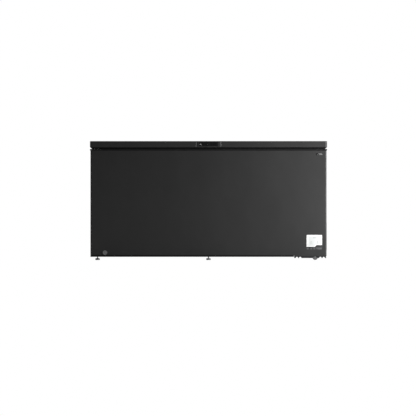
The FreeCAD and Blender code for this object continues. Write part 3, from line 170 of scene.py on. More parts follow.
def plated(name, colour, roughness, spangle, contrast=0.16):
    """Zinc on steel: crystals that differ a little in brightness and gloss."""
    paint = Paint(name, colour, roughness, metallic=1.0)
    crystal = paint.cells(spangle, output="Color")
    grey = paint.tree.nodes.new("ShaderNodeRGBToBW")
    paint.link(crystal, grey.inputs["Color"])
    paint.tint(grey.outputs["Val"], 1 - contrast, 1 + contrast, 0.1, 0.9)
    paint.vary("Roughness", grey.outputs["Val"], roughness - 0.08, roughness + 0.1, 0.1, 0.9)
    return paint.bump(paint.noise(spangle * 6, detail=2), 0.15, 0.0001)


def stucco_aluminium():
    """Rolled aluminium with the pebbled emboss of freezer liners."""
    paint = Paint("stucco_aluminium", (0.78, 0.79, 0.8), 0.36, metallic=0.3)
    pebbles = paint.noise(130, detail=1)
    paint.vary("Roughness", paint.noise(9, detail=5), 0.32, 0.42)
    paint.tint(paint.noise(3, detail=4), 0.97, 1.02)
    return paint.bump(pebbles, 0.4, 0.0008)


def copper():
    """Drawn copper that has begun to darken in patches."""
    paint = Paint("copper_tube", (0.78, 0.4, 0.26), 0.3, metallic=1.0)
    patches = paint.noise(55, detail=5, rough=0.65)
    stain = paint.ramp(patches, (0.35, (0.8, 0.42, 0.28)), (0.7, (0.36, 0.17, 0.11)))
    paint.link(stain, paint.shader.inputs["Base Color"])
    return paint.vary("Roughness", patches, 0.24, 0.5)


def foam():
    """Cut polyurethane foam with small open cells."""
    paint = Paint("rigid_foam", (0.83, 0.74, 0.47), 0.85)
    paint.tint(paint.noise(40, detail=5), 0.86, 1.06)
    return paint.bump(paint.cells(900), 0.7, 0.0005)


def circuit_board():
    """Green solder resist over a web of tracks."""
    paint = Paint("circuit_board", (0.01, 0.12, 0.045), 0.32)
    tracks = paint.tree.nodes.new("ShaderNodeTexBrick")
    paint.link(paint.place, tracks.inputs["Vector"])
    for socket, value in (
        ("Scale", 90), ("Mortar Size", 0.04), ("Color1", (0.01, 0.11, 0.04, 1)),
        ("Color2", (0.012, 0.15, 0.055, 1)), ("Mortar", (0.03, 0.25, 0.1, 1)),
    ):
        tracks.inputs[socket].default_value = value
    paint.link(tracks.outputs["Color"], paint.shader.inputs["Base Color"])
    return paint


def opal():
    """Milky lamp cover."""
    paint = Paint("opal_cover", (0.86, 0.87, 0.85), 0.28)
    paint.set("Subsurface Weight", 0.35).set("Subsurface Radius", (0.004, 0.004, 0.004))
    return paint.bump(paint.noise(700, detail=1), 0.2, 0.0001)


def paper(name, colour):
    """Printed film: an even matt coat over faint fibre."""
    paint = Paint(name, colour, 0.42)
    paint.tint(paint.noise(300, detail=4), 0.975, 1.02)
    return paint.bump(paint.noise(2400, detail=2), 0.12, 0.00003)


PAINTS = {  # one finish for each material slot
    "painted_steel": satin_paint("satin_black_paint", (0.0305, 0.0305, 0.0305), 0.42),
    "galvanised_steel": plated("galvanised_sheet", (0.55, 0.57, 0.58), 0.42, spangle=70),
    "black_plastic": moulded("black_plastic", (0.009, 0.009, 0.0092), 0.62),
    "white_plastic": moulded(
        "white_polystyrene", (0.86, 0.875, 0.88), 0.3, grain=240, depth=0.00001, mottle=0.01
    ),
    "embossed_aluminium": stucco_aluminium(),
    "foam": foam(),
    "copper": copper(),
    "black_enamel": satin_paint("black_enamel", (0.022, 0.022, 0.023), 0.34),
    "black_rubber": moulded("black_rubber", (0.008, 0.008, 0.0082), 0.78, grain=900, depth=0.0001),
    "grey_rubber": moulded("grey_rubber", (0.1, 0.1, 0.105), 0.7, grain=900, depth=0.0001),
    "zinc_steel": plated("zinc_plate", (0.62, 0.62, 0.6), 0.34, spangle=420, contrast=0.1),
    "grey_plastic": moulded("grey_plastic", (0.27, 0.27, 0.275), 0.5),
    "glossy_window": moulded(
        "smoked_window", (0.0085, 0.0085, 0.009), 0.07, grain=300, depth=0.00001
    ),
    "circuit_board": circuit_board(),
    "lamp_plastic": opal(),
    "coated_wire": moulded(
        "white_coated_wire", (0.8, 0.81, 0.82), 0.3, grain=900, depth=0.00008
    ),
    "label_film": paper("label_film", (0.78, 0.79, 0.79)),
    "badge_finish": moulded("satin_badge", (0.175, 0.175, 0.175), 0.4, grain=900, depth=0.00004),
}
# both blacks are matt, and reflect less than other plastics
PAINTS["black_plastic"].set("Specular IOR Level", 0.25)
PAINTS["black_rubber"].set("Specular IOR Level", 0.2)

# finishes of single nodes and pieces that differ from the rest of their slot
WHEEL_GREY = moulded("wheel_grey", (0.15, 0.15, 0.152), 0.55)
BEZEL_BLACK = moulded("bezel_black", (0.017, 0.017, 0.0174), 0.5)
# pale grey for the bezel's end rims: a painted highlight on the bezel's ends
BEZEL_PAINTED_HIGHLIGHT = moulded("bezel_painted_highlight", (0.32, 0.32, 0.325), 0.35)
UNLIT = moulded("unlit_segments", (0.02, 0.02, 0.021), 0.3)
SYMBOL_LIT = moulded("pale_symbol", (0.72, 0.72, 0.72), 0.4)
BASKET_SLEEVE = moulded("basket_sleeve", (0.62, 0.64, 0.66), 0.42)
LABEL_WHITE = paper("label_white", (0.95, 0.95, 0.95))
LABEL_FIELD = paper("label_field", (0.8, 0.825, 0.815))
LABEL_FAINT = paper("label_symbols", (0.66, 0.68, 0.67))
LABEL_BAND = paper("label_band", (0.046, 0.046, 0.047))
LABEL_TAB = paper("label_tabs", (0.105, 0.105, 0.108))
NODE_FINISHES = {
    "wheel_front": WHEEL_GREY,
    "wheel_rear": WHEEL_GREY,
    "control_bezel": BEZEL_BLACK,
}

# ------------------------------------------------------------------ mesh helpers

SMOOTH_ANGLE = math.radians(32)
POINT = 0.02  # radius that stands for a point in a turned profile, in mm


def smooth(mesh):
    """Smooth shading on curved faces, with edges sharper than SMOOTH_ANGLE kept crisp."""
    mesh.polygons.foreach_set("use_smooth", [True] * len(mesh.polygons))
    mesh.set_sharp_from_angle(angle=SMOOTH_ANGLE)


def dress_cad():
    """Gives every carried-over CAD node its procedural material and smooth curved faces."""
    for part in frame["record"]["subparts"]:
        obj = nodes[part["node"]]
        paint = NODE_FINISHES.get(part["node"], PAINTS[part["material_slot"]])
        obj.data.materials.clear()
        obj.data.materials.append(paint.material)
        smooth(obj.data)


dress_cad()


def front(u, v, w):
    """A point seen from the front: u to the right, v up, w towards the viewer."""
    return Vector((u, -w, v))


def back(u, v, w):
    """u along X, v up, w towards the rear."""
    return Vector((u, w, v))


def side(u, v, w):
    """u towards the rear, v up, w to the right."""
    return Vector((w, u, v))


def above(u, v, w):
    """u and v in plan, w up."""
    return Vector((u, v, w))


def below(u, v, w):
    """u and v in plan, w down."""
    return Vector((u, v, -w))


def piece(name, bm, slot, body, paint=None, replaces=None):
    """Turns a bmesh in millimetres into a finished object that rides on a body."""
    bmesh.ops.scale(bm, vec=(MM, MM, MM), verts=bm.verts)
    bmesh.ops.remove_doubles(bm, verts=bm.verts, dist=1e-7)
    bmesh.ops.recalc_face_normals(bm, faces=bm.faces)
    mesh = bpy.data.meshes.new(name)
    bm.to_mesh(mesh)
    bm.free()
    mesh.materials.append((paint or PAINTS[slot]).material)
    smooth(mesh)
    made = bpy.data.objects.new(name, mesh)
    bpy.context.collection.objects.link(made)
    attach(made, body)
    if replaces:
        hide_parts(replaces)
    return made


def outline(corners, radius, steps=5):
    """A polygon with rounded corners. Each corner is (u, v) or (u, v, its own radius)."""
    ring = []
    spots = [Vector(c[:2]) for c in corners]
    count = len(spots)
    for i, corner in enumerate(spots):
        bend = corners[i][2] if len(corners[i]) > 2 else radius
        arrive = (corner - spots[i - 1]).normalized()
        leave = (spots[(i + 1) % count] - corner).normalized()
        turn = arrive.angle_signed(leave)
        if abs(turn) < 0.01 or bend == 0:
            ring.append(corner)
            continue
        start = corner - arrive * bend * math.tan(abs(turn) / 2)
        inward = Vector((-arrive.y, arrive.x)) * math.copysign(bend, -turn)
        centre = start + inward
        for step in range(steps + 1):
            spin = -turn * step / steps
            arm = start - centre
            ring.append(
                centre
                + Vector((
                    arm.x * math.cos(spin) - arm.y * math.sin(spin),
                    arm.x * math.sin(spin) + arm.y * math.cos(spin),
                ))
            )
    return ring


def block(u, v, radius=1.0):
    """A rounded rectangle between pairs."""
    return outline([(u[0], v[0]), (u[1], v[0]), (u[1], v[1]), (u[0], v[1])], radius)


def turns(count, shift=0):
    """Angles spaced evenly round a circle, the first one shift steps on from zero."""
    return [2 * math.pi * (i + shift) / count for i in range(count)]


def ray(angle, length=1):
    """A vector of a length that points along an angle."""
    return Vector((length * math.cos(angle), length * math.sin(angle)))


def disc(u, v, radius, count=28):
    """A circle of points."""
    return [Vector((u, v)) + ray(t, radius) for t in turns(count)]


def strip(start, end, half):
    """The corners of a straight strip that reaches half to each side of its line."""
    along = (end - start).normalized()
    across = Vector((-along.y, along.x)) * half
    return [start - across, end - across, end + across, start + across]


def shrunk(ring, by):
    """An outline moved inwards by a distance."""
    count = len(ring)
    moved = []
    for i, spot in enumerate(ring):
        a = (spot - ring[i - 1]).normalized()
        b = (ring[(i + 1) % count] - spot).normalized()
        across = Vector((-(a.y + b.y), a.x + b.x)).normalized()
        half = max(0.5, across.dot(Vector((-a.y, a.x))))
        moved.append(spot + across * by / half)
    return moved


def skin(bm, rings, place, closed=False):
    """Joins loops of points, each (outline, height), into a surface with capped ends."""
    loops = [[bm.verts.new(place(p.x, p.y, w)) for p in ring] for ring, w in rings]
    pairs = list(zip(loops, loops[1:]))
    if closed:
        pairs.append((loops[-1], loops[0]))
    for low, high in pairs:
        count = len(low)
        for i in range(count):
            j = (i + 1) % count
            bm.faces.new((low[i], low[j], high[j], high[i]))
    if not closed:
        bm.faces.new(loops[0])
        bm.faces.new(loops[-1])


def pad(bm, ring, low, high, place, edge=0.3):
    """A flat-topped block on an outline, with a rounded top edge."""
    bend = min(edge, high - low)
    rings = [(ring, low), (ring, high - bend)]
    rings += [
        (shrunk(ring, bend * (1 - math.cos(t))), high - bend * (1 - math.sin(t)))
        for t in (math.radians(30), math.radians(60), math.radians(90))
    ]
    skin(bm, rings, place)


def lathe(bm, profile, u, v, place, count=28):
    """A turned shape about the line through (u, v). profile holds radii and heights."""
    rings = [(disc(u, v, max(radius, POINT), count), w) for radius, w in profile]
    skin(bm, rings, place)


def collar(bm, profile, u, v, place, count=48):
    """A turned ring whose profile closes on itself."""
    skin(bm, [(disc(u, v, radius, count), w) for radius, w in profile], place, closed=True)


# a pan head with a round recess, as radii and heights
SCREW_HEAD = ((4.0, 0.0), (4.0, 0.5), (3.3, 1.4), (1.9, 1.9), (1.7, 1.9), (1.5, 1.1), (POINT, 1.1))


def screws(name, spots, face, place, body, slot="zinc_steel"):
    """Pan-head screws with a round recess, all on one face."""
    bm = bmesh.new()
    for u, v in spots:
        lathe(bm, [(r, face + w) for r, w in SCREW_HEAD], u, v, place, 16)
    return piece(name, bm, slot, body)


def corners_of(node):
    """A node's box in millimetres."""
    return tuple(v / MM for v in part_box(node))


def middle(node):
    """The centre of a node's box, as three numbers in millimetres."""
    low, high = corners_of(node)
    return ((low.x + high.x) / 2, (low.y + high.y) / 2, (low.z + high.z) / 2)


def spread(low, high, count):
    """Evenly spaced values from low to high."""
    return [low + (high - low) * i / (count - 1) for i in range(count)]


# ------------------------------------------------------------------ front marks


# the label's plain marks, as centre, width and height, and the starts of its small tabs,
# all from the label's lower left corner
LABEL_MARKS = ((32, 54, 8, 20), (77, 56, 6, 16), (77, 45.5, 18, 2), (57, 86, 24, 8))
TAB_STARTS = (0, 25, 46)


def care_label():
    """A dark film with a blank white sheet over most of it, plain marks and grey tabs.

    The sheet and the paler field on it step up on the right, clear of the long tab.
    """
    low, high = corners_of("care_label")
    face = -high.y
    left, right, foot, top = low.x, high.x, low.z, high.z
    film, sheet, field, mark = (face + rise for rise in (0.08, 0.18, 0.22, 0.26))
    bm = bmesh.new()
    pad(bm, block((left, right), (foot, top), 5), face, film, front, 0.04)
    piece("care_label_film", bm, "black_plastic", "cabinet", LABEL_BAND, replaces="care_label")
    bm = bmesh.new()
    stepped = [
        (left, foot + 22, 2), (left + 58, foot + 22, 2), (left + 70, foot + 34, 2),
        (right, foot + 34, 4), (right, top, 5), (left, top, 5),
    ]
    pad(bm, outline(stepped, 2), film, sheet, front, 0.04)
    piece("care_label_sheet", bm, "label_film", "cabinet", LABEL_WHITE)
    bm = bmesh.new()
    stepped = [
        (left + 15, foot + 27), (left + 55, foot + 27), (left + 68, foot + 43),
        (right - 13, foot + 43), (right - 13, top - 14), (left + 15, top - 14),
    ]
    pad(bm, outline(stepped, 2), sheet, field, front, 0.02)
    piece("care_label_field", bm, "label_film", "cabinet", LABEL_FIELD)
    bm = bmesh.new()
    for u, v, wide, tall in LABEL_MARKS:
        across = (left + u - wide / 2, left + u + wide / 2)
        up = (foot + v - tall / 2, foot + v + tall / 2)
        pad(bm, block(across, up, 0.9), field, mark, front, 0.02)
    piece("care_label_symbols", bm, "label_film", "cabinet", LABEL_FAINT)
    bm = bmesh.new()
    for u in TAB_STARTS:
        ring = block((left + u, left + u + 14), (foot + 4, foot + 13), 3)
        pad(bm, ring, film, face + 0.2, front, 0.05)
    long_tab = [
        (left + 64, foot + 12, 4), (left + 74, foot + 5, 4), (right - 3, foot + 4, 6),
        (right - 3, foot + 17, 6), (left + 64, foot + 18, 3),
    ]
    pad(bm, outline(long_tab, 3), film, face + 0.24, front, 0.06)
    piece("care_label_tabs", bm, "grey_plastic", "cabinet", LABEL_TAB)


def badge():
    """A dark domed stud in a thin rim, and a plain satin bar with slanted ends."""
    low, high = corners_of("badge")
    face, across = -high.y, (low.z + high.z) / 2
    stud = (low.x + 6.5, across - 1)
    bm = bmesh.new()
    dome = ((6.4, 0), (6.4, 0.5), (5.7, 0.8), (5.4, 0.6), (4.2, 0.95), (2.2, 1.15), (POINT, 1.2))
    lathe(bm, [(r, face + w) for r, w in dome], *stud, front)
    piece("badge_stud", bm, "black_plastic", "cabinet", PAINTS["glossy_window"], replaces="badge")
    bm = bmesh.new()
    bar = [
        (high.x - 27, across - 6), (high.x, across - 6),
        (high.x - 8, across + 6), (high.x - 31, across + 6),
    ]
    pad(bm, outline(bar, 1.5), face, face + 1.1, front, 0.4)
    piece("badge_bar", bm, "badge_finish", "cabinet")


# ------------------------------------------------------------------ lid


GASKET_SECTION = (  # distance in from the seal's outer edge, and height, round the section
    (0, 2.8), (0, 1.3), (0.8, 0.4), (2.5, 0), (6, 0), (7.8, 0.5), (8.8, 1.4), (9.2, 1.4),
    (10.2, 0.5), (12, 0), (15.5, 0), (17.2, 0.4), (18, 1.3), (18, 2.8),
)
GASKET_HEIGHT = 2.8
GASKET_DROP = 0.18  # how far the soft ribs reach below the plain seal, all but to the collar


def gasket():
    """The lid's magnetic seal: a flange with two soft ribs that close on the collar."""
    low, high = corners_of("lid_seal")
    foot = low.z - GASKET_DROP
    bm = bmesh.new()
    rings = []
    for off, z in GASKET_SECTION:
        corner = max(3, 12 - off / 2)
        ring = block((low.x + off, high.x - off), (low.y + off, high.y - off), corner)
        rings.append((ring, foot + z * (high.z - foot) / GASKET_HEIGHT))
    skin(bm, rings, above, closed=True)
    piece("seal_gasket", bm, "black_rubber", "lid", replaces="lid_seal")


# a digit's bars, as shares of its width and height: three across, then four upright
SEGMENTS = (
    ((0.12, 0.88), (0.9, 1.0)), ((0.12, 0.88), (0.45, 0.55)), ((0.12, 0.88), (0.0, 0.1)),
    ((0.0, 0.16), (0.56, 0.94)), ((0.84, 1.0), (0.56, 0.94)),
    ((0.0, 0.16), (0.06, 0.44)), ((0.84, 1.0), (0.06, 0.44)),
)
DIGIT_WIDE, DIGIT_TALL = 7, 13
DIGIT_STARTS = (-7, 4)
PRINT_RISE, PRINT_EDGE = 0.04, 0.02


def display():
    """Unlit segments of a minus sign and two digits on the smoked window."""
    low, high = corners_of("display_window")
    face, height = -low.y, (low.z + high.z) / 2
    top = face + PRINT_RISE
    bm = bmesh.new()
    rings = [
        block(
            (start + u0 * DIGIT_WIDE, start + u1 * DIGIT_WIDE),
            (height + (v0 - 0.5) * DIGIT_TALL, height + (v1 - 0.5) * DIGIT_TALL), 0.3,
        )
        for start in DIGIT_STARTS
        for (u0, u1), (v0, v1) in SEGMENTS
    ]
    rings.append(block((-16, -10), (height - 0.7, height + 0.7), 0.3))  # the minus sign
    rings += [disc(u, height, 1.3, 16) for u in (-30, 26)]  # a dot by each key
    for ring in rings:
        pad(bm, ring, face, top, front, PRINT_EDGE)
    degree = ((1.5, face), (1.5, top), (0.8, top), (0.8, face))
    collar(bm, degree, 15, height + 5.5, front, 20)
    piece("display_segments", bm, "glossy_window", "lid", UNLIT)


SYMBOL_SUNK, SYMBOL_PROUD = 0.02, 0.008  # a key's symbol below and above the key's face


def key_symbols():
    """A broken ring with a stroke on the left key, a six-armed star on the right one."""
    low, _ = corners_of("key_left")
    sunk, proud = -low.y - SYMBOL_SUNK, -low.y + SYMBOL_PROUD
    along, _, height = middle("key_left")
    along += 0.4
    bm = bmesh.new()
    arc = [math.radians(angle) for angle in spread(125, 415, 21)]
    centre = Vector((along, height))
    broken = [centre + ray(t, 4.7) for t in arc] + [centre + ray(t, 2.9) for t in reversed(arc)]
    skin(bm, [(broken, sunk), (broken, proud)], front)
    stroke = block((along - 0.65, along + 0.65), (height + 0.6, height + 5), 0.5)
    pad(bm, stroke, sunk, proud, front, 0.004)
    piece("key_symbol_left", bm, "lamp_plastic", "key_left", SYMBOL_LIT)
    along = middle("key_right")[0]
    centre = Vector((along, height))
    bm = bmesh.new()
    for number in range(3):
        arm = ray(math.radians(60 * number + 30), 4)
        bar = strip(centre - arm, centre + arm, 0.35)
        # each bar stands a little higher than the last, so that no two faces coincide
        skin(bm, [(bar, sunk), (bar, -low.y + 0.004 + 0.002 * number)], front)
    piece("key_symbol_right", bm, "glossy_window", "key_right", UNLIT)


LID_FACE = 367.0  # the lid skin's front face, from the middle of the cabinet
LIP_HALF, LIP_RISE = 1.1, 1.9


def bezel_highlight_lips():
    """Rounded rims down both ends of the control bezel, in a pale grey that paints the highlight its
    curved ends catch.
    """
    low, high = corners_of("control_bezel")
    bm = bmesh.new()
    for u in (low.x + LIP_HALF, high.x - LIP_HALF):
        ring = block((u - LIP_HALF, u + LIP_HALF), (low.z, high.z), 1.0)
        pad(bm, ring, LID_FACE, LID_FACE + LIP_RISE, front, 1.0)
    piece("bezel_highlight_lips", bm, "black_plastic", "lid", BEZEL_PAINTED_HIGHLIGHT)


def liner_ribs():
    """Long raised ribs that stiffen the lid's white inner panel."""
    low, _ = corners_of("lid_liner")
    sunk, proud = -(low.z + 4.2), -(low.z + 0.4)  # the dished panel's face lies between these
    half = 9
    bm = bmesh.new()
    for v in spread(-150, 150, 5):
        for u in ((-640, -12), (12, 640)):
            pad(bm, block(u, (v - half, v + half), half - 0.1), sunk, proud, below, 3.2)
    piece("liner_ribs", bm, "white_plastic", "lid")


# ------------------------------------------------------------------ tub


FRONT_WALL, REAR_WALL = 295.0, 272.0  # the tub's walls, from the middle of the cabinet
TUB_FLOOR, TUB_STEP, TUB_LEDGE = 96.0, 361.0, 736.0  # just above each level
SEAMS = (  # along X, foot and top
    (-718, TUB_FLOOR, TUB_LEDGE), (718, TUB_STEP, TUB_LEDGE), (494, TUB_FLOOR, TUB_STEP - 3),
)
SEAM_HALF, SEAM_RISE = 3.5, 0.9


def tub_seams():
    """Folded lock seams where the tub's sheets meet, standing just proud of the walls."""
    bm = bmesh.new()
    for u, foot, top in SEAMS:
        strip = block((u - SEAM_HALF, u + SEAM_HALF), (foot, top), 1)
        for wall, place in ((FRONT_WALL, back), (REAR_WALL, front)):
            pad(bm, strip, -wall, SEAM_RISE - wall, place, 0.5)
    piece("tub_seams", bm, "embossed_aluminium", "cabinet")


def basket_grips():
    """Ribbed sleeves clipped on the end wires of each basket's frame."""
    wire = 3  # from the outside of the frame to the middle of its wire
    core, rib, pitch = 4.3, 5.2, 4
    shift = -12  # the middle of the tub lies that far forward of the cabinet's
    profile = [(3.1, -52), (core, -51)]
    for v in range(-46, 47, pitch):
        profile += [(core, v - 1.4), (rib, v - 0.7), (rib, v + 0.7), (core, v + 1.4)]
    profile += [(core, 51), (3.1, 52)]
    for name in ("left", "right"):
        low, high = corners_of("basket_" + name)
        bm = bmesh.new()
        for u in (low.x + wire, high.x - wire):
            lathe(bm, [(r, v + shift) for r, v in profile], u, high.z - wire, back, 20)
        piece(f"basket_grips_{name}", bm, "grey_plastic", "basket_" + name, BASKET_SLEEVE)


# ------------------------------------------------------------------ rear and machine bay


COVER_SLOTS, SLOT_PITCH = 9, 20
SLOT_ENDS, FIRST_SLOT = (628, 782), 109.5
HOOD_TALL, HOOD_DEEP = 8.5, 4.6
HOOD_SHEET = 0.6 * MM
HOOD_STEPS, HOOD_ARCS = 24, 6  # along the hood, and round its bend


def hood(bm, u, v, face):
    """A pressed louvre between the pair u, with its open foot at v, and rounded ends."""
    grid = []
    for i in range(HOOD_STEPS + 1):
        share = i / HOOD_STEPS
        fade = min(1.0, 4.2 * math.sqrt(max(0.0, share * (1 - share))))  # 0 at both ends
        column = []
        for j in range(HOOD_ARCS + 1):
            turn = math.radians(90 * j / HOOD_ARCS)
            column.append(bm.verts.new(back(
                u[0] + (u[1] - u[0]) * share,
                v + fade * HOOD_TALL * math.sin(turn) + 0.2 * share,
                face + 0.1 + fade * HOOD_DEEP * math.cos(turn),
            )))
        grid.append(column)
    for a, b in zip(grid, grid[1:]):
        for j in range(HOOD_ARCS):
            bm.faces.new((a[j], b[j], b[j + 1], a[j + 1]))


def rear_details():
    """Swaged ribs, rims of screws, a blank rating plate and hoods over the cover's slots."""
    low, high = corners_of("back_panel")
    face = high.y
    half = 9
    bm = bmesh.new()
    for u in (-640, -320, 0, 320):
        pad(bm, block((u - half, u + half), (110, 600), half - 0.1), face, face + 2.2, back, 2.1)
    piece("back_ribs", bm, "painted_steel", "cabinet")
    inset = 14
    rows = (low.z + 8, high.z - inset)
    spots = [(u, v) for u in spread(low.x + inset, high.x - 230, 8) for v in rows]
    spots += [(low.x + inset, v) for v in spread(200, 600, 3)]
    spots += [(high.x - inset, v) for v in spread(360, 600, 3)]
    screws("back_screws", spots, face, back, "cabinet")
    bm = bmesh.new()
    pad(bm, block((440, 560), (330, 420), 4), face, face + 0.5, back, 0.2)
    piece("rating_plate", bm, "badge_finish", "cabinet")
    low, high = corners_of("rear_cover")
    face = high.y
    bm = bmesh.new()
    for number in range(COVER_SLOTS):
        hood(bm, SLOT_ENDS, FIRST_SLOT + SLOT_PITCH * number, face)
    made = piece("cover_hoods", bm, "black_enamel", "cabinet")
    made.modifiers.new("thickness", "SOLIDIFY").thickness = HOOD_SHEET
    rows = spread(low.z + 10, high.z - 10, 4)
    spots = [(u, v) for u in (low.x + 8, high.x - 8) for v in rows]
    screws("cover_screws", spots, face, back, "cabinet")


def grille_blades():
    """Slanted blades behind the side grille's slots."""
    low, high = corners_of("side_grille")
    slots, first, pitch = 9, 88, 18
    rim = 21  # from the grille's edge to the ends of its slots
    bm = bmesh.new()
    for number in range(slots):
        z = first + pitch * number
        blade = [
            (high.x - 2, z - 1.2), (high.x - 2, z), (high.x - 17, z + 12), (high.x - 18.2, z + 11),
        ]
        ring = outline(blade, 0.4, 2)
        skin(bm, [(ring, low.y + rim), (ring, high.y - rim)], back)
    piece("grille_blades", bm, "black_plastic", "cabinet")


def compressor_trim():
    """The rolled weld round the compressor, ribs on its relay cover, screws on the power box."""
    low, high = corners_of("compressor_upper_shell")
    u, v, _ = middle("compressor_upper_shell")
    radius, bead = (high.x - low.x) / 2 - 1, 2.6
    section = [(radius + spot.x, low.z + spot.y) for spot in (ray(t, bead) for t in turns(12))]
    bm = bmesh.new()
    collar(bm, section, u, v, above, 72)
    piece("compressor_weld", bm, "black_enamel", "cabinet")
    low, high = corners_of("power_box")
    along = middle("power_box")[1]
    spots = [(along + off, v) for off in (-40, 40) for v in (low.z + 12, high.z - 12)]
    screws("power_box_screws", spots, high.x, side, "cabinet")
    low, high = corners_of("relay_cover")
    bm = bmesh.new()
    for u in spread(low.x, high.x, 5)[1:-1]:
        ring = block((u - 1.2, u + 1.2), (low.z + 8, high.z - 8), 1.1)
        pad(bm, ring, -low.y, 1.2 - low.y, front, 0.8)
    piece("relay_ribs", bm, "black_plastic", "cabinet")


def ribs_round(bm, centre, place, radius, rib, count, low, high, edge):
    """Small round ribs, each rib in radius, evenly spaced on a circle about a centre."""
    for t in turns(count):
        spot = Vector(centre) + ray(t, radius)
        pad(bm, disc(*spot, rib, 8), low, high, place, edge)


def gland_nut():
    """A ribbed nut round the cord gland's mouth."""
    _, high = corners_of("cord_gland")
    u, _, v = middle("cord_gland")
    bm = bmesh.new()
    ribs_round(
        bm, (u, v), back, radius=11.9, rib=0.9, count=20,
        low=high.y - 7.6, high=high.y - 5.2, edge=0.4,
    )
    piece("gland_ribs", bm, "black_plastic", "cabinet")


# ------------------------------------------------------------------ feet, wheels and drain


def foot_grips():
    """Upright grip ribs round each foot's pad."""
    for name in ("front_left", "front_middle", "rear_left", "rear_middle"):
        u, v, _ = middle("foot_" + name)
        bm = bmesh.new()
        ribs_round(
            bm, (u, v), above, radius=14.9, rib=0.8, count=24, low=1.6, high=5.8, edge=0.5
        )
        piece("foot_grip_" + name, bm, "grey_plastic", "foot_" + name)


def wheel_trim():
    """Spokes in each wheel's dish, and a domed cap on each axle."""
    hub, rim, half, dish = 7.5, 14.8, 1.1, 2.2
    cap = ((7.3, 0.1), (7.3, 1.3), (6.8, 1.8), (5.2, 2.1), (2.4, 2.3), (POINT, 2.35))
    for name, place in (("front", front), ("rear", back)):
        low, high = corners_of("wheel_" + name)
        u, _, v = middle("wheel_" + name)
        face = -low.y if place is front else high.y
        centre = Vector((u, v))
        bm = bmesh.new()
        for t in turns(6, 0.5):
            spoke = strip(centre + ray(t, hub), centre + ray(t, rim), half)
            pad(bm, outline(spoke, 0.3, 2), face - dish, face - 0.5, place, 0.3)
        piece("wheel_spokes_" + name, bm, "grey_plastic", "wheel_" + name, WHEEL_GREY)
        bm = bmesh.new()
        lathe(bm, [(r, face + w) for r, w in cap], u, v, place)
        piece("axle_cap_" + name, bm, "grey_plastic", "cabinet", WHEEL_GREY)


def dial_grip():
    """Fine ribs round the drain dial and a plain raised pointer."""
    low, high = corners_of("drain_dial")
    u, _, v = middle("drain_dial")
    face = -low.y
    bm = bmesh.new()
    ribs_round(
        bm, (u, v), front, radius=15.9, rib=0.55, count=36,
        low=-high.y + 0.4, high=face - 0.7, edge=0.3,
    )
    piece("dial_ribs", bm, "grey_plastic", "drain_dial")
    bm = bmesh.new()
    arrow = [(u, v + 15.2), (u - 1.3, v + 13.4), (u + 1.3, v + 13.4)]
    pad(bm, outline(arrow, 0.2, 2), face - 0.1, face + 0.25, front, 0.15)
    piece("dial_pointer", bm, "white_plastic", "drain_dial", LABEL_FAINT)


for make in (
    care_label, badge, gasket, display, key_symbols, bezel_highlight_lips, liner_ribs, tub_seams,
    basket_grips, rear_details, grille_blades, compressor_trim, gland_nut, foot_grips,
    wheel_trim, dial_grip,
):
    make()

# ------------------------------------------------------------------ camera, lights and floor

VIEW_WIDTH = 2.907424  # metres across the view, which has no perspective
CAMERA_AT = (-0.0035, -4.0, 0.3634)
camera_data = bpy.data.cameras.new("camera")
camera_data.type = "ORTHO"
camera_data.ortho_scale = VIEW_WIDTH
camera = bpy.data.objects.new("camera", camera_data)
camera.location = CAMERA_AT
camera.rotation_euler = (math.radians(90), 0, 0)  # level, looking along Y
bpy.context.collection.objects.link(camera)
bpy.context.scene.camera = camera


def softbox(name, at, aim, size, watts, beam=180):
    """A rectangular area light that faces a point. beam is its spread in degrees."""
    data = bpy.data.lights.new(name, "AREA")
    data.shape = "RECTANGLE"
    data.size, data.size_y = size
    data.energy = watts
    data.spread = math.radians(beam)
    light = bpy.data.objects.new(name, data)
    light.location = at
    light.rotation_euler = (Vector(aim) - Vector(at)).to_track_quat("-Z", "Y").to_euler()
    light.visible_camera = False
    bpy.context.collection.objects.link(light)
    return light


# low and to the right of the front, which makes the front darker towards its left
key_light = softbox(
    "key_right", at=(2.05, -1.85, 0.54), aim=(0.9, -0.37, 0.54), size=(0.8, 1.08), watts=19, beam=94
)
softbox("top_box", at=(0.0, 0.2, 3.6), aim=(0.0, 0.0, 0.8), size=(3.0, 2.0), watts=60)
softbox("rear_box", at=(-2.4, 3.2, 2.0), aim=(0.0, 0.3, 0.4), size=(2.0, 1.6), watts=60)
WHITE = (1.0, 1.0, 1.0, 1.0)
AMBIENT = 0.095  # strength of the light from all round
FLOOR_GLOW = 0.94  # what the camera sees of the floor before any light falls on it
FLOOR_ALBEDO = 0.8  # for light that the floor sends back to the object
FLOOR_SEEN = (0.19, 0.21)  # albedo for the camera, so that shadows on it stay faint


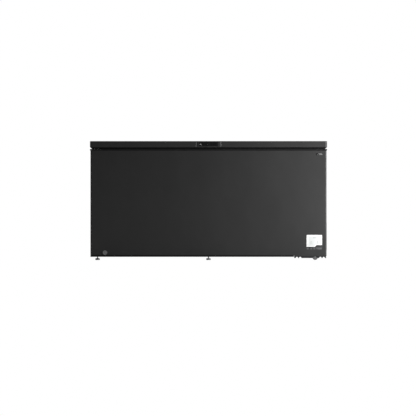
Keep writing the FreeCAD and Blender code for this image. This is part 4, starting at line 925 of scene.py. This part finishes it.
def studio_world():
    """White behind the object, and an even dimmer grey for light and reflections."""
    world = bpy.data.worlds.new("studio")
    world.use_nodes = True
    tree = world.node_tree
    ambient = tree.nodes["Background"]
    ambient.inputs["Color"].default_value = WHITE
    ambient.inputs["Strength"].default_value = AMBIENT
    backdrop = tree.nodes.new("ShaderNodeBackground")
    backdrop.inputs["Color"].default_value = WHITE
    path = tree.nodes.new("ShaderNodeLightPath")
    mix = tree.nodes.new("ShaderNodeMixShader")
    tree.links.new(path.outputs["Is Camera Ray"], mix.inputs["Fac"])
    tree.links.new(ambient.outputs[0], mix.inputs[1])
    tree.links.new(backdrop.outputs[0], mix.inputs[2])
    tree.links.new(mix.outputs[0], tree.nodes["World Output"].inputs["Surface"])
    bpy.context.scene.world = world


def studio_floor(key):
    """A pale, softly lit disc. The key light passes it by, so it stays even."""
    bm = bmesh.new()
    bmesh.ops.create_circle(bm, cap_ends=True, segments=96, radius=9.0)
    mesh = bpy.data.meshes.new("floor")
    bm.to_mesh(mesh)
    bm.free()
    floor = bpy.data.objects.new("floor", mesh)
    bpy.context.collection.objects.link(floor)
    ground = Paint("studio_floor", (FLOOR_ALBEDO,) * 3, 0.6)
    seen = ground.tree.nodes.new("ShaderNodeLightPath").outputs["Is Camera Ray"]
    glow = ground.levels(seen, 0.0, FLOOR_GLOW, 0.0, 1.0)
    ground.link(glow, ground.shader.inputs["Emission Strength"])
    ground.set("Emission Color", WHITE)
    albedo = ground.tree.nodes.new("ShaderNodeMix")
    albedo.inputs["A"].default_value = FLOOR_ALBEDO
    ground.link(seen, albedo.inputs["Factor"])
    ground.link(ground.levels(ground.noise(3, detail=4), *FLOOR_SEEN), albedo.inputs["B"])
    ground.link(albedo.outputs["Result"], ground.shader.inputs["Base Color"])
    mesh.materials.append(ground.material)
    passed_by = bpy.data.collections.new("passed_by_key_light")
    passed_by.objects.link(floor)
    passed_by.collection_objects[0].light_linking.link_state = "EXCLUDE"
    key.light_linking.receiver_collection = passed_by


studio_world()
studio_floor(key_light)
bpy.context.scene.view_settings.view_transform = "Standard"
bpy.context.scene.view_settings.look = "None"
